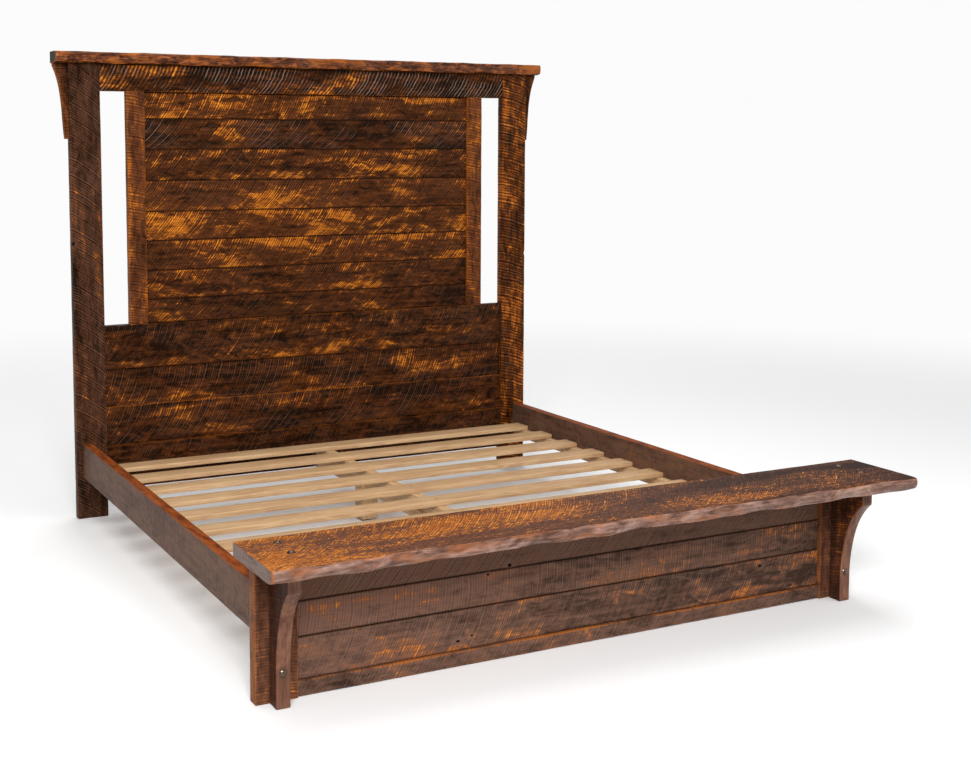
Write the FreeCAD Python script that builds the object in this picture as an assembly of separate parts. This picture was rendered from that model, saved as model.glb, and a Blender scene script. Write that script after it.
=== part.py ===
import FreeCAD, Part
import math
import os

# King-size bed frame in rough-sawn boards: a tall plank headboard under a live-edge cap, and a low
# footboard that carries a live-edge bench on two corbels. +Z is up, the headboard is towards +Y and
# the bench towards -Y. The origin is at the middle of the footprint, on the floor. Millimetres.
# While the pieces are made, y = 0 is the back plane of the footboard posts.

VEC = FreeCAD.Vector
X_AXIS = VEC(1, 0, 0)
Y_AXIS = VEC(0, 1, 0)
Z_AXIS = VEC(0, 0, 1)
SIDES = {"left": -1, "right": 1}

# Distance between the two bed ends, for a 1930 x 2032 mattress.
RAIL_LENGTH = 2083.0

# Headboard frame.
HEAD_HALF = 1061.0          # middle of the bed to the outer face of a post
HEAD_POST_WIDTH = 124.0
POST_THICK = 43.0
FRAME_SETBACK = 3.0         # rails and stiles stand this far behind the post faces
FRAME_THICK = POST_THICK - FRAME_SETBACK
CAP_BOTTOM = 1854.5
TOP_RAIL_BOTTOM = 1746.5
MIDDLE_RAIL_TOP = 790.0
MIDDLE_RAIL_BOTTOM = 610.0
BOTTOM_RAIL_TOP = 290.0
BOTTOM_RAIL_BOTTOM = 110.0
STILE_OUTER = 828.0
STILE_WIDTH = 73.5

# Boards of the headboard panel: their bottom edges, from the lowest to the highest.
PANEL_EDGES = [MIDDLE_RAIL_TOP, 890.0, 1010.0, 1134.0, 1255.0, 1382.5, 1513.0, 1638.5]
LOWER_PANEL_EDGES = [BOTTOM_RAIL_TOP, 450.0]
PLANK_THICK = 20.0
PANEL_SETBACK = 18.0        # face of the boards behind the post faces
TONGUE_THICK = 6.0
TONGUE_DEPTH = 8.0
HOUSING_DEPTH = 10.0        # board ends are let into the stiles and posts by this much

# Mortise and tenon joints.
TENON_THICK = 14.0
TENON_LENGTH = 50.0
TENON_SHOULDER = 15.0
STILE_TENON = 30.0

# Live-edge cap and the brackets under its ends.
CAP_HALF = 1120.5
CAP_THICK = 46.5
CAP_FRONT = 44.5            # in front of the posts' front plane
CAP_BACK = 64.0             # behind the posts' front plane
CAP_WAVE = 7.0
CAP_CORNER = 24.0
CAP_DOWEL_X = [300.0, 800.0, 1031.0]
BRACKET_THICK = 28.0
BRACKET_TOP = 58.5
BRACKET_LIP = 10.0
BRACKET_FOOT = 15.0
BRACKET_HEIGHT = 301.5
BRACKET_DOWEL_DROPS = [28.0, 100.0]
BRACKET_CURVE = [(38.0, 73.0), (26.0, 150.0)]     # outward from the post, down from the cap

# Wandering front edge of the cap and the bench: its points, and the height, rate and start of each
# wave along it.
EDGE_STEPS = 12
EDGE_LEVEL = 0.5
EDGE_RIPPLES = [(0.3, 3.1, 0.6), (0.2, 7.3, 1.9)]

# Footboard and bench.
FOOT_HALF = 1070.5
FOOT_POST_WIDTH = 126.0
BENCH_BOTTOM = 413.0
BENCH_THICK = 40.0
BENCH_HALF = 1114.5
BENCH_REACH = 302.0         # front edge in front of the footboard posts' back plane
BENCH_WAVE = 8.0
BENCH_CORNER = 12.0
FOOT_PLANK_EDGES = [46.0, 169.5, 271.0]
FOOT_PLANK_NAMES = ["bottom", "middle", "top"]
FOOT_PLANK_SETBACK = 14.0
FOOT_RAIL_BOTTOM = 5.0
FOOT_RAIL_SETBACK = 2.0
FOOT_RAIL_THICK = 36.0
FOOT_RAIL_TENON = 24.0
BATTEN_THICK = 19.0
BATTEN_WIDTH = 70.0
BATTEN_OFFSET = 760.0
CENTRE_BATTEN_SCREW_X = BATTEN_WIDTH / 3     # clear of the beam's hanger

# Corbels under the bench: depths in front of the post at their heights.
CORBEL_INNER = 987.5
CORBEL_THICK = 42.0
CORBEL_LEG = 51.5
CORBEL_TOP = 143.0
CORBEL_BLOCK = 64.0
CORBEL_CURVE = [(111.0, 314.0), (78.0, 250.0), (58.5, 168.0)]
CORBEL_CURVE_FOOT = 96.0

# Side rails, cleats, slats and the middle support.
RAIL_OUTER = 1037.5
RAIL_THICK = 38.0
RAIL_BOTTOM = 171.0
RAIL_TOP = 311.0
CLEAT_THICK = 28.0
CLEAT_HEIGHT = 38.0
CLEAT_END_GAP = 60.0
CLEAT_SCREW_COUNT = 6
CLEAT_SCREW_END = 80.0      # from the end of a cleat
CLEAT_SCREW_HEIGHT = CLEAT_HEIGHT / 3
SLAT_COUNT = 10
SLAT_WIDTH = 89.0
SLAT_THICK = 19.0
SLAT_END_GAP = 2.0
BEAM_THICK = 38.0
BEAM_HEIGHT = 89.0
LEG_SIZE = 70.0
LEG_SADDLE = 40.0
LEG_NAMES = ["foot", "middle", "head"]
GLIDE_HEIGHT = 6.0
GLIDE_RADIUS = 22.0
GLIDE_SPIGOT_RADIUS = 4.0
GLIDE_SPIGOT = 14.0

# Steel rail fittings.
PLATE_WIDTH = 22.0
PLATE_HEIGHT = 116.0
PLATE_THICK = 3.0
PLATE_SCREW_OFFSET = 48.0
HOOK_OFFSETS = [-25.0, 22.0]
HOOK_THICK = 4.5
HOOK_HEIGHT = 20.0
HOOK_REACH = 10.0
HOOK_DROP = 7.0
SLOT_WIDTH = 6.5
SLOT_HEIGHT = 30.0
POCKET_WIDTH = 12.0
POCKET_HEIGHT = 38.0
POCKET_DEPTH = 14.0
HANGER_THICK = 3.0
HANGER_DEPTH = 42.0
HANGER_HEIGHT = 70.0
HANGER_SCREW_EDGE = 15.0

# Fasteners.
FIT_GAP = 0.1               # radial play of a round fastener in its hole
SCREW_RADIUS = 2.0
SCREW_HEAD_RADIUS = 4.0
SCREW_HEAD_HEIGHT = 2.5
SCREW_LENGTH = 38.0
DOWEL_RADIUS = 5.0
DOWEL_LENGTH = 40.0
DOWEL_END_GAP = 1.0
BOLT_RADIUS = 5.0
BOLT_HEAD_RADIUS = 12.0
BOLT_HEAD_HEIGHT = 6.0
BENCH_BOLT_LENGTH = 85.0
BENCH_BOLT_Y = [-58.0, -160.0]
CORBEL_BOLT_Z = 99.5
NUT_FLATS = 16.0
NUT_HEIGHT = 8.0
NUT_FLANGE_RADIUS = 11.0
NUT_FLANGE_HEIGHT = 2.0
NUT_POCKET_RADIUS = 14.0
NUT_POCKET_DEPTH = 14.0

# Planes worked out from the sizes above.
HEAD_FRONT = RAIL_LENGTH
HEAD_BACK = HEAD_FRONT + POST_THICK
HEAD_INNER = HEAD_HALF - HEAD_POST_WIDTH
FRAME_FRONT = HEAD_FRONT + FRAME_SETBACK
FRAME_MIDDLE = FRAME_FRONT + FRAME_THICK / 2
PANEL_FRONT = HEAD_FRONT + PANEL_SETBACK
PANEL_MIDDLE = PANEL_FRONT + PLANK_THICK / 2
STILE_INNER = STILE_OUTER - STILE_WIDTH
FOOT_FRONT = -POST_THICK
FOOT_INNER = FOOT_HALF - FOOT_POST_WIDTH
FOOT_PLANK_FRONT = FOOT_FRONT + FOOT_PLANK_SETBACK
FOOT_PLANK_MIDDLE = FOOT_PLANK_FRONT + PLANK_THICK / 2
FOOT_PLANK_BACK = FOOT_PLANK_FRONT + PLANK_THICK
FOOT_RAIL_FRONT = FOOT_FRONT + FOOT_RAIL_SETBACK
FOOT_RAIL_MIDDLE = FOOT_RAIL_FRONT + FOOT_RAIL_THICK / 2
BATTEN_BACK = FOOT_PLANK_BACK + BATTEN_THICK
BENCH_TOP = BENCH_BOTTOM + BENCH_THICK
CORBEL_MIDDLE = CORBEL_INNER + CORBEL_THICK / 2
RAIL_INNER = RAIL_OUTER - RAIL_THICK
RAIL_MIDDLE = RAIL_OUTER - RAIL_THICK / 2
RAIL_CENTRE_Z = (RAIL_BOTTOM + RAIL_TOP) / 2
CLEAT_INNER = RAIL_INNER - CLEAT_THICK
SLAT_BOTTOM = RAIL_BOTTOM + CLEAT_HEIGHT
SLAT_TOP = SLAT_BOTTOM + SLAT_THICK
BEAM_BOTTOM = SLAT_BOTTOM - BEAM_HEIGHT

nodes = {}
holes = {}


def box(x0, x1, y0, y1, z0, z1):
    """Block between two corners, whichever order the x values come in."""
    low = VEC(min(x0, x1), y0, z0)
    return Part.makeBox(abs(x1 - x0), y1 - y0, z1 - z0, low)


def mirrored(shape):
    """The same piece on the other side of the bed."""
    return shape.mirror(VEC(0, 0, 0), X_AXIS)


def hollow(name, tool):
    """Remember a hole, groove or pocket to take out of a node."""
    holes.setdefault(name, []).append(tool)


def plank(half, bottom, top, front, lower_tongue, housing):
    """Board across the bed with its ends housed, a tongue on top and a groove or tongue below."""
    middle = front + PLANK_THICK / 2
    tongue_front = middle - TONGUE_THICK / 2
    tongue_back = middle + TONGUE_THICK / 2
    board = box(-half - housing, half + housing, front, front + PLANK_THICK, bottom, top)
    board = board.fuse(box(-half, half, tongue_front, tongue_back, top, top + TONGUE_DEPTH))
    if lower_tongue:
        edge = box(-half, half, tongue_front, tongue_back, bottom - TONGUE_DEPTH, bottom)
        return board.fuse(edge).removeSplitter()
    edge = box(-half, half, tongue_front, tongue_back, bottom, bottom + TONGUE_DEPTH)
    return board.cut(edge)


def cross_rail(half, bottom, top, front, thick, tenon, shoulder):
    """Rail between two posts with a tenon on each end."""
    middle = front + thick / 2
    rail = box(-half, half, front, front + thick, bottom, top)
    tongue = box(-half - tenon, half + tenon, middle - TENON_THICK / 2, middle + TENON_THICK / 2,
                 bottom + shoulder, top - shoulder)
    return rail.fuse(tongue).removeSplitter()


def mortise(name, inner, sign, middle, length, bottom, top):
    """Blind mortise in the inner side face of a post."""
    hollow(name, box(sign * inner, sign * (inner + length), middle - TENON_THICK / 2,
                     middle + TENON_THICK / 2, bottom, top))


def live_edge_slab(half, front, back, bottom, thick, wave, corner):
    """Slab with square back corners, rounded front corners and a wandering front edge."""
    reach = half - corner
    points = []
    for i in range(EDGE_STEPS + 1):
        x = -reach + 2 * reach * i / EDGE_STEPS
        turn = math.pi * x / half
        ripple = EDGE_LEVEL + sum(height * math.sin(rate * turn + start)
                                  for height, rate, start in EDGE_RIPPLES)
        fade = math.cos(turn / 2)
        points.append(VEC(x, front + wave * ripple * fade, bottom))
    edge = Part.BSplineCurve()
    edge.interpolate(points)
    left, right = points[0], points[-1]
    bow = corner * (1 - math.sqrt(0.5))
    left_end = VEC(-half, left.y + corner, bottom)
    right_end = VEC(half, right.y + corner, bottom)
    left_arc = Part.Arc(left_end, VEC(-half + bow, left.y + bow, bottom), left)
    right_arc = Part.Arc(right, VEC(half - bow, right.y + bow, bottom), right_end)
    back_left = VEC(-half, back, bottom)
    back_right = VEC(half, back, bottom)
    outline = Part.Wire([edge.toShape(), right_arc.toShape(), Part.makeLine(right_end, back_right),
                         Part.makeLine(back_right, back_left), Part.makeLine(back_left, left_end),
                         left_arc.toShape()])
    return Part.Face(outline).extrude(VEC(0, 0, thick))


def screw(at, into, play=0.0):
    """Countersunk wood screw with its head's face at a point; play makes the hole for it."""
    head = Part.makeCone(SCREW_HEAD_RADIUS + play, SCREW_RADIUS + play, SCREW_HEAD_HEIGHT, at, into)
    neck = at + into * SCREW_HEAD_HEIGHT
    length = SCREW_LENGTH - SCREW_HEAD_HEIGHT + play
    shank = Part.makeCylinder(SCREW_RADIUS + play, length, neck, into)
    return head.fuse(shank)


def drive_screws(places, through):
    """Screws at (point, direction) places, with their holes in the named nodes."""
    solids = []
    for at, into in places:
        solids.append(screw(at, into))
        for name in through:
            hollow(name, screw(at, into, FIT_GAP))
    return solids


def domed_bolt(at, into, length):
    """Round-headed bolt: a domed head outside the surface and a shank inside it."""
    sphere_radius = (BOLT_HEAD_RADIUS ** 2 + BOLT_HEAD_HEIGHT ** 2) / (2 * BOLT_HEAD_HEIGHT)
    sphere_centre = at + into * (sphere_radius - BOLT_HEAD_HEIGHT)
    ball = Part.makeSphere(sphere_radius, sphere_centre)
    disc = Part.makeCylinder(BOLT_HEAD_RADIUS, BOLT_HEAD_HEIGHT, at - into * BOLT_HEAD_HEIGHT, into)
    shank = Part.makeCylinder(BOLT_RADIUS, length, at, into)
    return ball.common(disc).fuse(shank)


def make_headboard_posts():
    """Two flat posts, mortised for the rails and grooved for the lower boards."""
    groove_front = PANEL_FRONT
    groove_back = PANEL_FRONT + PLANK_THICK
    for side, sign in SIDES.items():
        name = "headboard_post_" + side
        nodes[name] = box(sign * HEAD_INNER, sign * HEAD_HALF, HEAD_FRONT, HEAD_BACK, 0, CAP_BOTTOM)
        for bottom, top in [(TOP_RAIL_BOTTOM, CAP_BOTTOM), (MIDDLE_RAIL_BOTTOM, MIDDLE_RAIL_TOP),
                            (BOTTOM_RAIL_BOTTOM, BOTTOM_RAIL_TOP)]:
            mortise(name, HEAD_INNER, sign, FRAME_MIDDLE, TENON_LENGTH,
                    bottom + TENON_SHOULDER, top - TENON_SHOULDER)
        hollow(name, box(sign * HEAD_INNER, sign * (HEAD_INNER + HOUSING_DEPTH), groove_front,
                         groove_back, BOTTOM_RAIL_TOP, MIDDLE_RAIL_BOTTOM))


def make_headboard_rails():
    """Top, middle and bottom rails, grooved for the boards' tongues."""
    spans = {"top": (TOP_RAIL_BOTTOM, CAP_BOTTOM), "middle": (MIDDLE_RAIL_BOTTOM, MIDDLE_RAIL_TOP),
             "bottom": (BOTTOM_RAIL_BOTTOM, BOTTOM_RAIL_TOP)}
    for label, (bottom, top) in spans.items():
        nodes["headboard_" + label + "_rail"] = cross_rail(
            HEAD_INNER, bottom, top, FRAME_FRONT, FRAME_THICK, TENON_LENGTH, TENON_SHOULDER)
    front = PANEL_MIDDLE - TONGUE_THICK / 2
    back = PANEL_MIDDLE + TONGUE_THICK / 2
    hollow("headboard_top_rail", box(-STILE_INNER, STILE_INNER, front, back,
                                     TOP_RAIL_BOTTOM, TOP_RAIL_BOTTOM + TONGUE_DEPTH))
    hollow("headboard_middle_rail", box(-STILE_INNER, STILE_INNER, front, back,
                                        MIDDLE_RAIL_TOP - TONGUE_DEPTH, MIDDLE_RAIL_TOP))
    hollow("headboard_middle_rail", box(-HEAD_INNER, HEAD_INNER, front, back,
                                        MIDDLE_RAIL_BOTTOM, MIDDLE_RAIL_BOTTOM + TONGUE_DEPTH))
    hollow("headboard_bottom_rail", box(-HEAD_INNER, HEAD_INNER, front, back,
                                        BOTTOM_RAIL_TOP - TONGUE_DEPTH, BOTTOM_RAIL_TOP))


def make_headboard_stiles():
    """Two stiles beside the boards, tenoned into the top and middle rails."""
    tenon_front = FRAME_MIDDLE - TENON_THICK / 2
    tenon_back = FRAME_MIDDLE + TENON_THICK / 2
    for side, sign in SIDES.items():
        name = "headboard_stile_" + side
        stile = box(sign * STILE_INNER, sign * STILE_OUTER, FRAME_FRONT, FRAME_FRONT + FRAME_THICK,
                    MIDDLE_RAIL_TOP, TOP_RAIL_BOTTOM)
        tenon = box(sign * (STILE_INNER + TENON_SHOULDER), sign * (STILE_OUTER - TENON_SHOULDER),
                    tenon_front, tenon_back, MIDDLE_RAIL_TOP - STILE_TENON,
                    TOP_RAIL_BOTTOM + STILE_TENON)
        nodes[name] = stile.fuse(tenon).removeSplitter()
        hollow("headboard_middle_rail", tenon)
        hollow("headboard_top_rail", tenon)
        hollow(name, box(sign * STILE_INNER, sign * (STILE_INNER + HOUSING_DEPTH), PANEL_FRONT,
                         PANEL_FRONT + PLANK_THICK, MIDDLE_RAIL_TOP, TOP_RAIL_BOTTOM))


def make_headboard_planks():
    """Tongue-and-groove boards of the tall panel and of the part behind the mattress."""
    tops = PANEL_EDGES[1:] + [TOP_RAIL_BOTTOM]
    for i, (bottom, top) in enumerate(zip(PANEL_EDGES, tops)):
        nodes["headboard_plank_%d" % (i + 1)] = plank(
            STILE_INNER, bottom, top, PANEL_FRONT, i == 0, HOUSING_DEPTH)
    tops = LOWER_PANEL_EDGES[1:] + [MIDDLE_RAIL_BOTTOM]
    for i, (bottom, top) in enumerate(zip(LOWER_PANEL_EDGES, tops)):
        nodes["headboard_lower_plank_%d" % (i + 1)] = plank(
            HEAD_INNER, bottom, top, PANEL_FRONT, i == 0, HOUSING_DEPTH)


def make_headboard_cap():
    """Live-edge cap on top of the posts and the top rail."""
    nodes["headboard_cap"] = live_edge_slab(CAP_HALF, HEAD_FRONT - CAP_FRONT, HEAD_FRONT + CAP_BACK,
                                            CAP_BOTTOM, CAP_THICK, CAP_WAVE, CAP_CORNER)


def make_headboard_brackets():
    """Curved bracket outside each post, under the end of the cap."""
    def at(out, drop):
        return VEC(HEAD_HALF + out, HEAD_BACK - BRACKET_THICK, CAP_BOTTOM - drop)

    curve = Part.BSplineCurve()
    middle = [at(out, drop) for out, drop in BRACKET_CURVE]
    curve.interpolate([at(BRACKET_TOP, BRACKET_LIP)] + middle + [at(BRACKET_FOOT, BRACKET_HEIGHT)])
    corners = [at(BRACKET_FOOT, BRACKET_HEIGHT), at(0, BRACKET_HEIGHT), at(0, 0),
               at(BRACKET_TOP, 0), at(BRACKET_TOP, BRACKET_LIP)]
    sides = [Part.makeLine(a, b) for a, b in zip(corners, corners[1:])]
    profile = Part.Face(Part.Wire([curve.toShape()] + sides))
    bracket = profile.extrude(VEC(0, BRACKET_THICK, 0))
    nodes["headboard_bracket_right"] = bracket
    nodes["headboard_bracket_left"] = mirrored(bracket)


def make_dowels():
    """Hidden dowels that hold the cap on its posts and rail, and the brackets on the posts."""
    start = DOWEL_LENGTH / 2
    places = []
    for sign in (-1, 1):
        for x in CAP_DOWEL_X:
            rail = "headboard_top_rail"
            if x > HEAD_INNER:
                rail = "headboard_post_left" if sign < 0 else "headboard_post_right"
            places.append((VEC(sign * x, FRAME_MIDDLE, CAP_BOTTOM - start), Z_AXIS,
                           [rail, "headboard_cap"]))
        side = "left" if sign < 0 else "right"
        for drop in BRACKET_DOWEL_DROPS:
            places.append((VEC(sign * (HEAD_HALF - start), HEAD_BACK - BRACKET_THICK / 2,
                               CAP_BOTTOM - drop), X_AXIS * sign,
                           ["headboard_post_" + side, "headboard_bracket_" + side]))
    solids = []
    for at, into, names in places:
        solids.append(Part.makeCylinder(DOWEL_RADIUS, DOWEL_LENGTH, at, into))
        bore = Part.makeCylinder(DOWEL_RADIUS + FIT_GAP, DOWEL_LENGTH + 2 * DOWEL_END_GAP,
                                 at - into * DOWEL_END_GAP, into)
        for name in names:
            hollow(name, bore)
    nodes["dowels"] = Part.makeCompound(solids)


def make_footboard_posts():
    """Two short flat posts under the back of the bench."""
    for side, sign in SIDES.items():
        name = "footboard_post_" + side
        nodes[name] = box(sign * FOOT_INNER, sign * FOOT_HALF, FOOT_FRONT, 0, 0, BENCH_BOTTOM)
        mortise(name, FOOT_INNER, sign, FOOT_RAIL_MIDDLE, FOOT_RAIL_TENON,
                FOOT_RAIL_BOTTOM + TENON_SHOULDER, FOOT_PLANK_EDGES[0] - TENON_SHOULDER)
        hollow(name, box(sign * FOOT_INNER, sign * (FOOT_INNER + HOUSING_DEPTH), FOOT_PLANK_FRONT,
                         FOOT_PLANK_BACK, FOOT_PLANK_EDGES[0], BENCH_BOTTOM))


def make_footboard_panel():
    """Bottom rail, three boards above it and the battens behind them."""
    nodes["footboard_bottom_rail"] = cross_rail(
        FOOT_INNER, FOOT_RAIL_BOTTOM, FOOT_PLANK_EDGES[0], FOOT_RAIL_FRONT, FOOT_RAIL_THICK,
        FOOT_RAIL_TENON, TENON_SHOULDER)
    hollow("footboard_bottom_rail",
           box(-FOOT_INNER, FOOT_INNER, FOOT_PLANK_MIDDLE - TONGUE_THICK / 2,
               FOOT_PLANK_MIDDLE + TONGUE_THICK / 2, FOOT_PLANK_EDGES[0] - TONGUE_DEPTH,
               FOOT_PLANK_EDGES[0]))
    hollow("bench_top", box(-FOOT_INNER, FOOT_INNER, FOOT_PLANK_MIDDLE - TONGUE_THICK / 2,
                            FOOT_PLANK_MIDDLE + TONGUE_THICK / 2, BENCH_BOTTOM,
                            BENCH_BOTTOM + TONGUE_DEPTH))
    tops = FOOT_PLANK_EDGES[1:] + [BENCH_BOTTOM]
    for i, (bottom, top) in enumerate(zip(FOOT_PLANK_EDGES, tops)):
        nodes["footboard_plank_" + FOOT_PLANK_NAMES[i]] = plank(
            FOOT_INNER, bottom, top, FOOT_PLANK_FRONT, i == 0, HOUSING_DEPTH)
    for label, x in [("left", -BATTEN_OFFSET), ("centre", 0.0), ("right", BATTEN_OFFSET)]:
        nodes["footboard_batten_" + label] = box(
            x - BATTEN_WIDTH / 2, x + BATTEN_WIDTH / 2, FOOT_PLANK_BACK, BATTEN_BACK,
            FOOT_PLANK_EDGES[0], BENCH_BOTTOM)


def make_corbels():
    """Corbels that stand on the floor, curve forward and carry the bench."""
    def at(out, z):
        return VEC(CORBEL_INNER, FOOT_FRONT - out, z)

    block_bottom = BENCH_BOTTOM - CORBEL_BLOCK
    curve = Part.BSplineCurve()
    curve.interpolate([at(CORBEL_TOP, block_bottom)] + [at(out, z) for out, z in CORBEL_CURVE]
                      + [at(CORBEL_LEG, CORBEL_CURVE_FOOT)])
    corners = [at(CORBEL_LEG, CORBEL_CURVE_FOOT), at(CORBEL_LEG, 0), at(0, 0), at(0, BENCH_BOTTOM),
               at(CORBEL_TOP, BENCH_BOTTOM), at(CORBEL_TOP, block_bottom)]
    sides = [Part.makeLine(a, b) for a, b in zip(corners, corners[1:])]
    profile = Part.Face(Part.Wire([curve.toShape()] + sides))
    corbel = profile.extrude(VEC(CORBEL_THICK, 0, 0))
    nodes["footboard_corbel_right"] = corbel
    nodes["footboard_corbel_left"] = mirrored(corbel)


def make_bench():
    """Live-edge bench top and the four bolts that hold it on the corbels."""
    nodes["bench_top"] = live_edge_slab(BENCH_HALF, -BENCH_REACH, 0.0, BENCH_BOTTOM, BENCH_THICK,
                                        BENCH_WAVE, BENCH_CORNER)
    bolts = []
    for side, sign in SIDES.items():
        for y in BENCH_BOLT_Y:
            at = VEC(sign * CORBEL_MIDDLE, y, BENCH_TOP)
            bolts.append(domed_bolt(at, -Z_AXIS, BENCH_BOLT_LENGTH))
            bore = Part.makeCylinder(BOLT_RADIUS + FIT_GAP, BENCH_BOLT_LENGTH + FIT_GAP, at,
                                     -Z_AXIS)
            hollow("bench_top", bore)
            hollow("footboard_corbel_" + side, bore)
    nodes["bench_bolts"] = Part.makeCompound(bolts)


def make_corbel_bolts():
    """One bolt through the foot of each corbel and the post, with its nut behind."""
    bolts = []
    nuts = []
    shank = CORBEL_LEG + POST_THICK - (NUT_POCKET_DEPTH - NUT_HEIGHT - NUT_FLANGE_HEIGHT)
    for side, sign in SIDES.items():
        at = VEC(sign * CORBEL_MIDDLE, FOOT_FRONT - CORBEL_LEG, CORBEL_BOLT_Z)
        bolts.append(domed_bolt(at, Y_AXIS, shank))
        bore = Part.makeCylinder(BOLT_RADIUS + FIT_GAP, CORBEL_LEG + POST_THICK, at, Y_AXIS)
        seat = VEC(at.x, -NUT_POCKET_DEPTH, at.z)
        pocket = Part.makeCylinder(NUT_POCKET_RADIUS, NUT_POCKET_DEPTH, seat, Y_AXIS)
        hollow("footboard_corbel_" + side, bore)
        hollow("footboard_post_" + side, bore)
        hollow("footboard_post_" + side, pocket)
        corner = NUT_FLATS / math.sqrt(3)
        ring = [VEC(at.x + corner * math.cos(math.radians(60 * i)), seat.y + NUT_FLANGE_HEIGHT,
                    at.z + corner * math.sin(math.radians(60 * i))) for i in range(7)]
        hexagon = Part.Face(Part.makePolygon(ring)).extrude(Y_AXIS * NUT_HEIGHT)
        flange = Part.makeCylinder(NUT_FLANGE_RADIUS, NUT_FLANGE_HEIGHT, seat, Y_AXIS)
        nuts.append(flange.fuse(hexagon).cut(bore))
    nodes["corbel_bolts"] = Part.makeCompound(bolts)
    nodes["corbel_nuts"] = Part.makeCompound(nuts)


def make_side_rails():
    """Side rails with the cleats that carry the slats."""
    for side, sign in SIDES.items():
        nodes["side_rail_" + side] = box(sign * RAIL_INNER, sign * RAIL_OUTER, 0, RAIL_LENGTH,
                                         RAIL_BOTTOM, RAIL_TOP)
        nodes["slat_cleat_" + side] = box(sign * CLEAT_INNER, sign * RAIL_INNER, CLEAT_END_GAP,
                                          RAIL_LENGTH - CLEAT_END_GAP, RAIL_BOTTOM,
                                          RAIL_BOTTOM + CLEAT_HEIGHT)


def make_rail_fittings():
    """Hook plates let into the rail ends and the slotted plates they drop into."""
    hook_plates = []
    socket_plates = []
    screws = []
    ends = {"foot": (0.0, -1), "head": (RAIL_LENGTH, 1)}
    for side, sign in SIDES.items():
        for end, (face, out) in ends.items():
            rail = "side_rail_" + side
            post = ("footboard_post_" if end == "foot" else "headboard_post_") + side
            x0 = sign * RAIL_MIDDLE - PLATE_WIDTH / 2
            x1 = x0 + PLATE_WIDTH
            z0 = RAIL_CENTRE_Z - PLATE_HEIGHT / 2
            z1 = z0 + PLATE_HEIGHT
            inside = sorted([face, face - out * PLATE_THICK])
            beyond = sorted([face, face + out * PLATE_THICK])
            hook_plate = box(x0, x1, inside[0], inside[1], z0, z1)
            socket = box(x0, x1, beyond[0], beyond[1], z0, z1)
            hollow(rail, hook_plate)
            hollow(post, socket)
            for offset in HOOK_OFFSETS:
                middle = RAIL_CENTRE_Z + offset
                hook_x0 = sign * RAIL_MIDDLE - HOOK_THICK / 2
                top = middle + HOOK_HEIGHT / 2
                low = middle - HOOK_HEIGHT / 2
                nose = face + out * PLATE_THICK
                tip = face + out * HOOK_REACH
                outline = [(face, low), (face, top), (tip, top), (tip, low - HOOK_DROP),
                           (nose, low - HOOK_DROP), (nose, low), (face, low)]
                corners = [VEC(hook_x0, y, z) for y, z in outline]
                hook_plate = hook_plate.fuse(
                    Part.Face(Part.makePolygon(corners)).extrude(X_AXIS * HOOK_THICK))
                slot_x0 = sign * RAIL_MIDDLE - SLOT_WIDTH / 2
                socket = socket.cut(box(slot_x0, slot_x0 + SLOT_WIDTH, beyond[0], beyond[1],
                                        low, low + SLOT_HEIGHT))
                pocket_x0 = sign * RAIL_MIDDLE - POCKET_WIDTH / 2
                deep = sorted([face + out * PLATE_THICK, face + out * (PLATE_THICK + POCKET_DEPTH)])
                hollow(post, box(pocket_x0, pocket_x0 + POCKET_WIDTH, deep[0], deep[1],
                                 low - HOOK_DROP, low - HOOK_DROP + POCKET_HEIGHT))
            rail_places = []
            post_places = []
            for z in (RAIL_CENTRE_Z - PLATE_SCREW_OFFSET, RAIL_CENTRE_Z + PLATE_SCREW_OFFSET):
                at = VEC(sign * RAIL_MIDDLE, face, z)
                rail_places.append((at, Y_AXIS * -out))
                post_places.append((at, Y_AXIS * out))
            for at, into in rail_places:
                hook_plate = hook_plate.cut(screw(at, into, FIT_GAP))
            for at, into in post_places:
                socket = socket.cut(screw(at, into, FIT_GAP))
            screws += drive_screws(rail_places, [rail])
            screws += drive_screws(post_places, [post])
            hook_plates.append(hook_plate)
            socket_plates.append(socket)
    nodes["rail_hook_plates"] = Part.makeCompound(hook_plates)
    nodes["rail_socket_plates"] = Part.makeCompound(socket_plates)
    return screws


def make_slats():
    """Slats on the cleats and the middle beam, with their screws."""
    screws = []
    pitch = (RAIL_LENGTH - BATTEN_BACK) / SLAT_COUNT
    half = RAIL_INNER - SLAT_END_GAP
    for i in range(SLAT_COUNT):
        name = "slat_%02d" % (i + 1)
        middle = BATTEN_BACK + pitch * (i + 0.5)
        nodes[name] = box(-half, half, middle - SLAT_WIDTH / 2, middle + SLAT_WIDTH / 2,
                          SLAT_BOTTOM, SLAT_TOP)
        under = {"slat_cleat_left": -RAIL_INNER + CLEAT_THICK / 2, "centre_beam": 0.0,
                 "slat_cleat_right": RAIL_INNER - CLEAT_THICK / 2}
        for support, x in under.items():
            screws += drive_screws([(VEC(x, middle, SLAT_TOP), -Z_AXIS)], [name, support])
    return screws


def make_cleat_screws():
    """Screws that hold each cleat to its rail."""
    first = CLEAT_END_GAP + CLEAT_SCREW_END
    step = (RAIL_LENGTH - 2 * first) / (CLEAT_SCREW_COUNT - 1)
    screws = []
    for side, sign in SIDES.items():
        places = [(VEC(sign * CLEAT_INNER, first + step * i, RAIL_BOTTOM + CLEAT_SCREW_HEIGHT),
                   X_AXIS * sign) for i in range(CLEAT_SCREW_COUNT)]
        screws += drive_screws(places, ["slat_cleat_" + side, "side_rail_" + side])
    return screws


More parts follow.
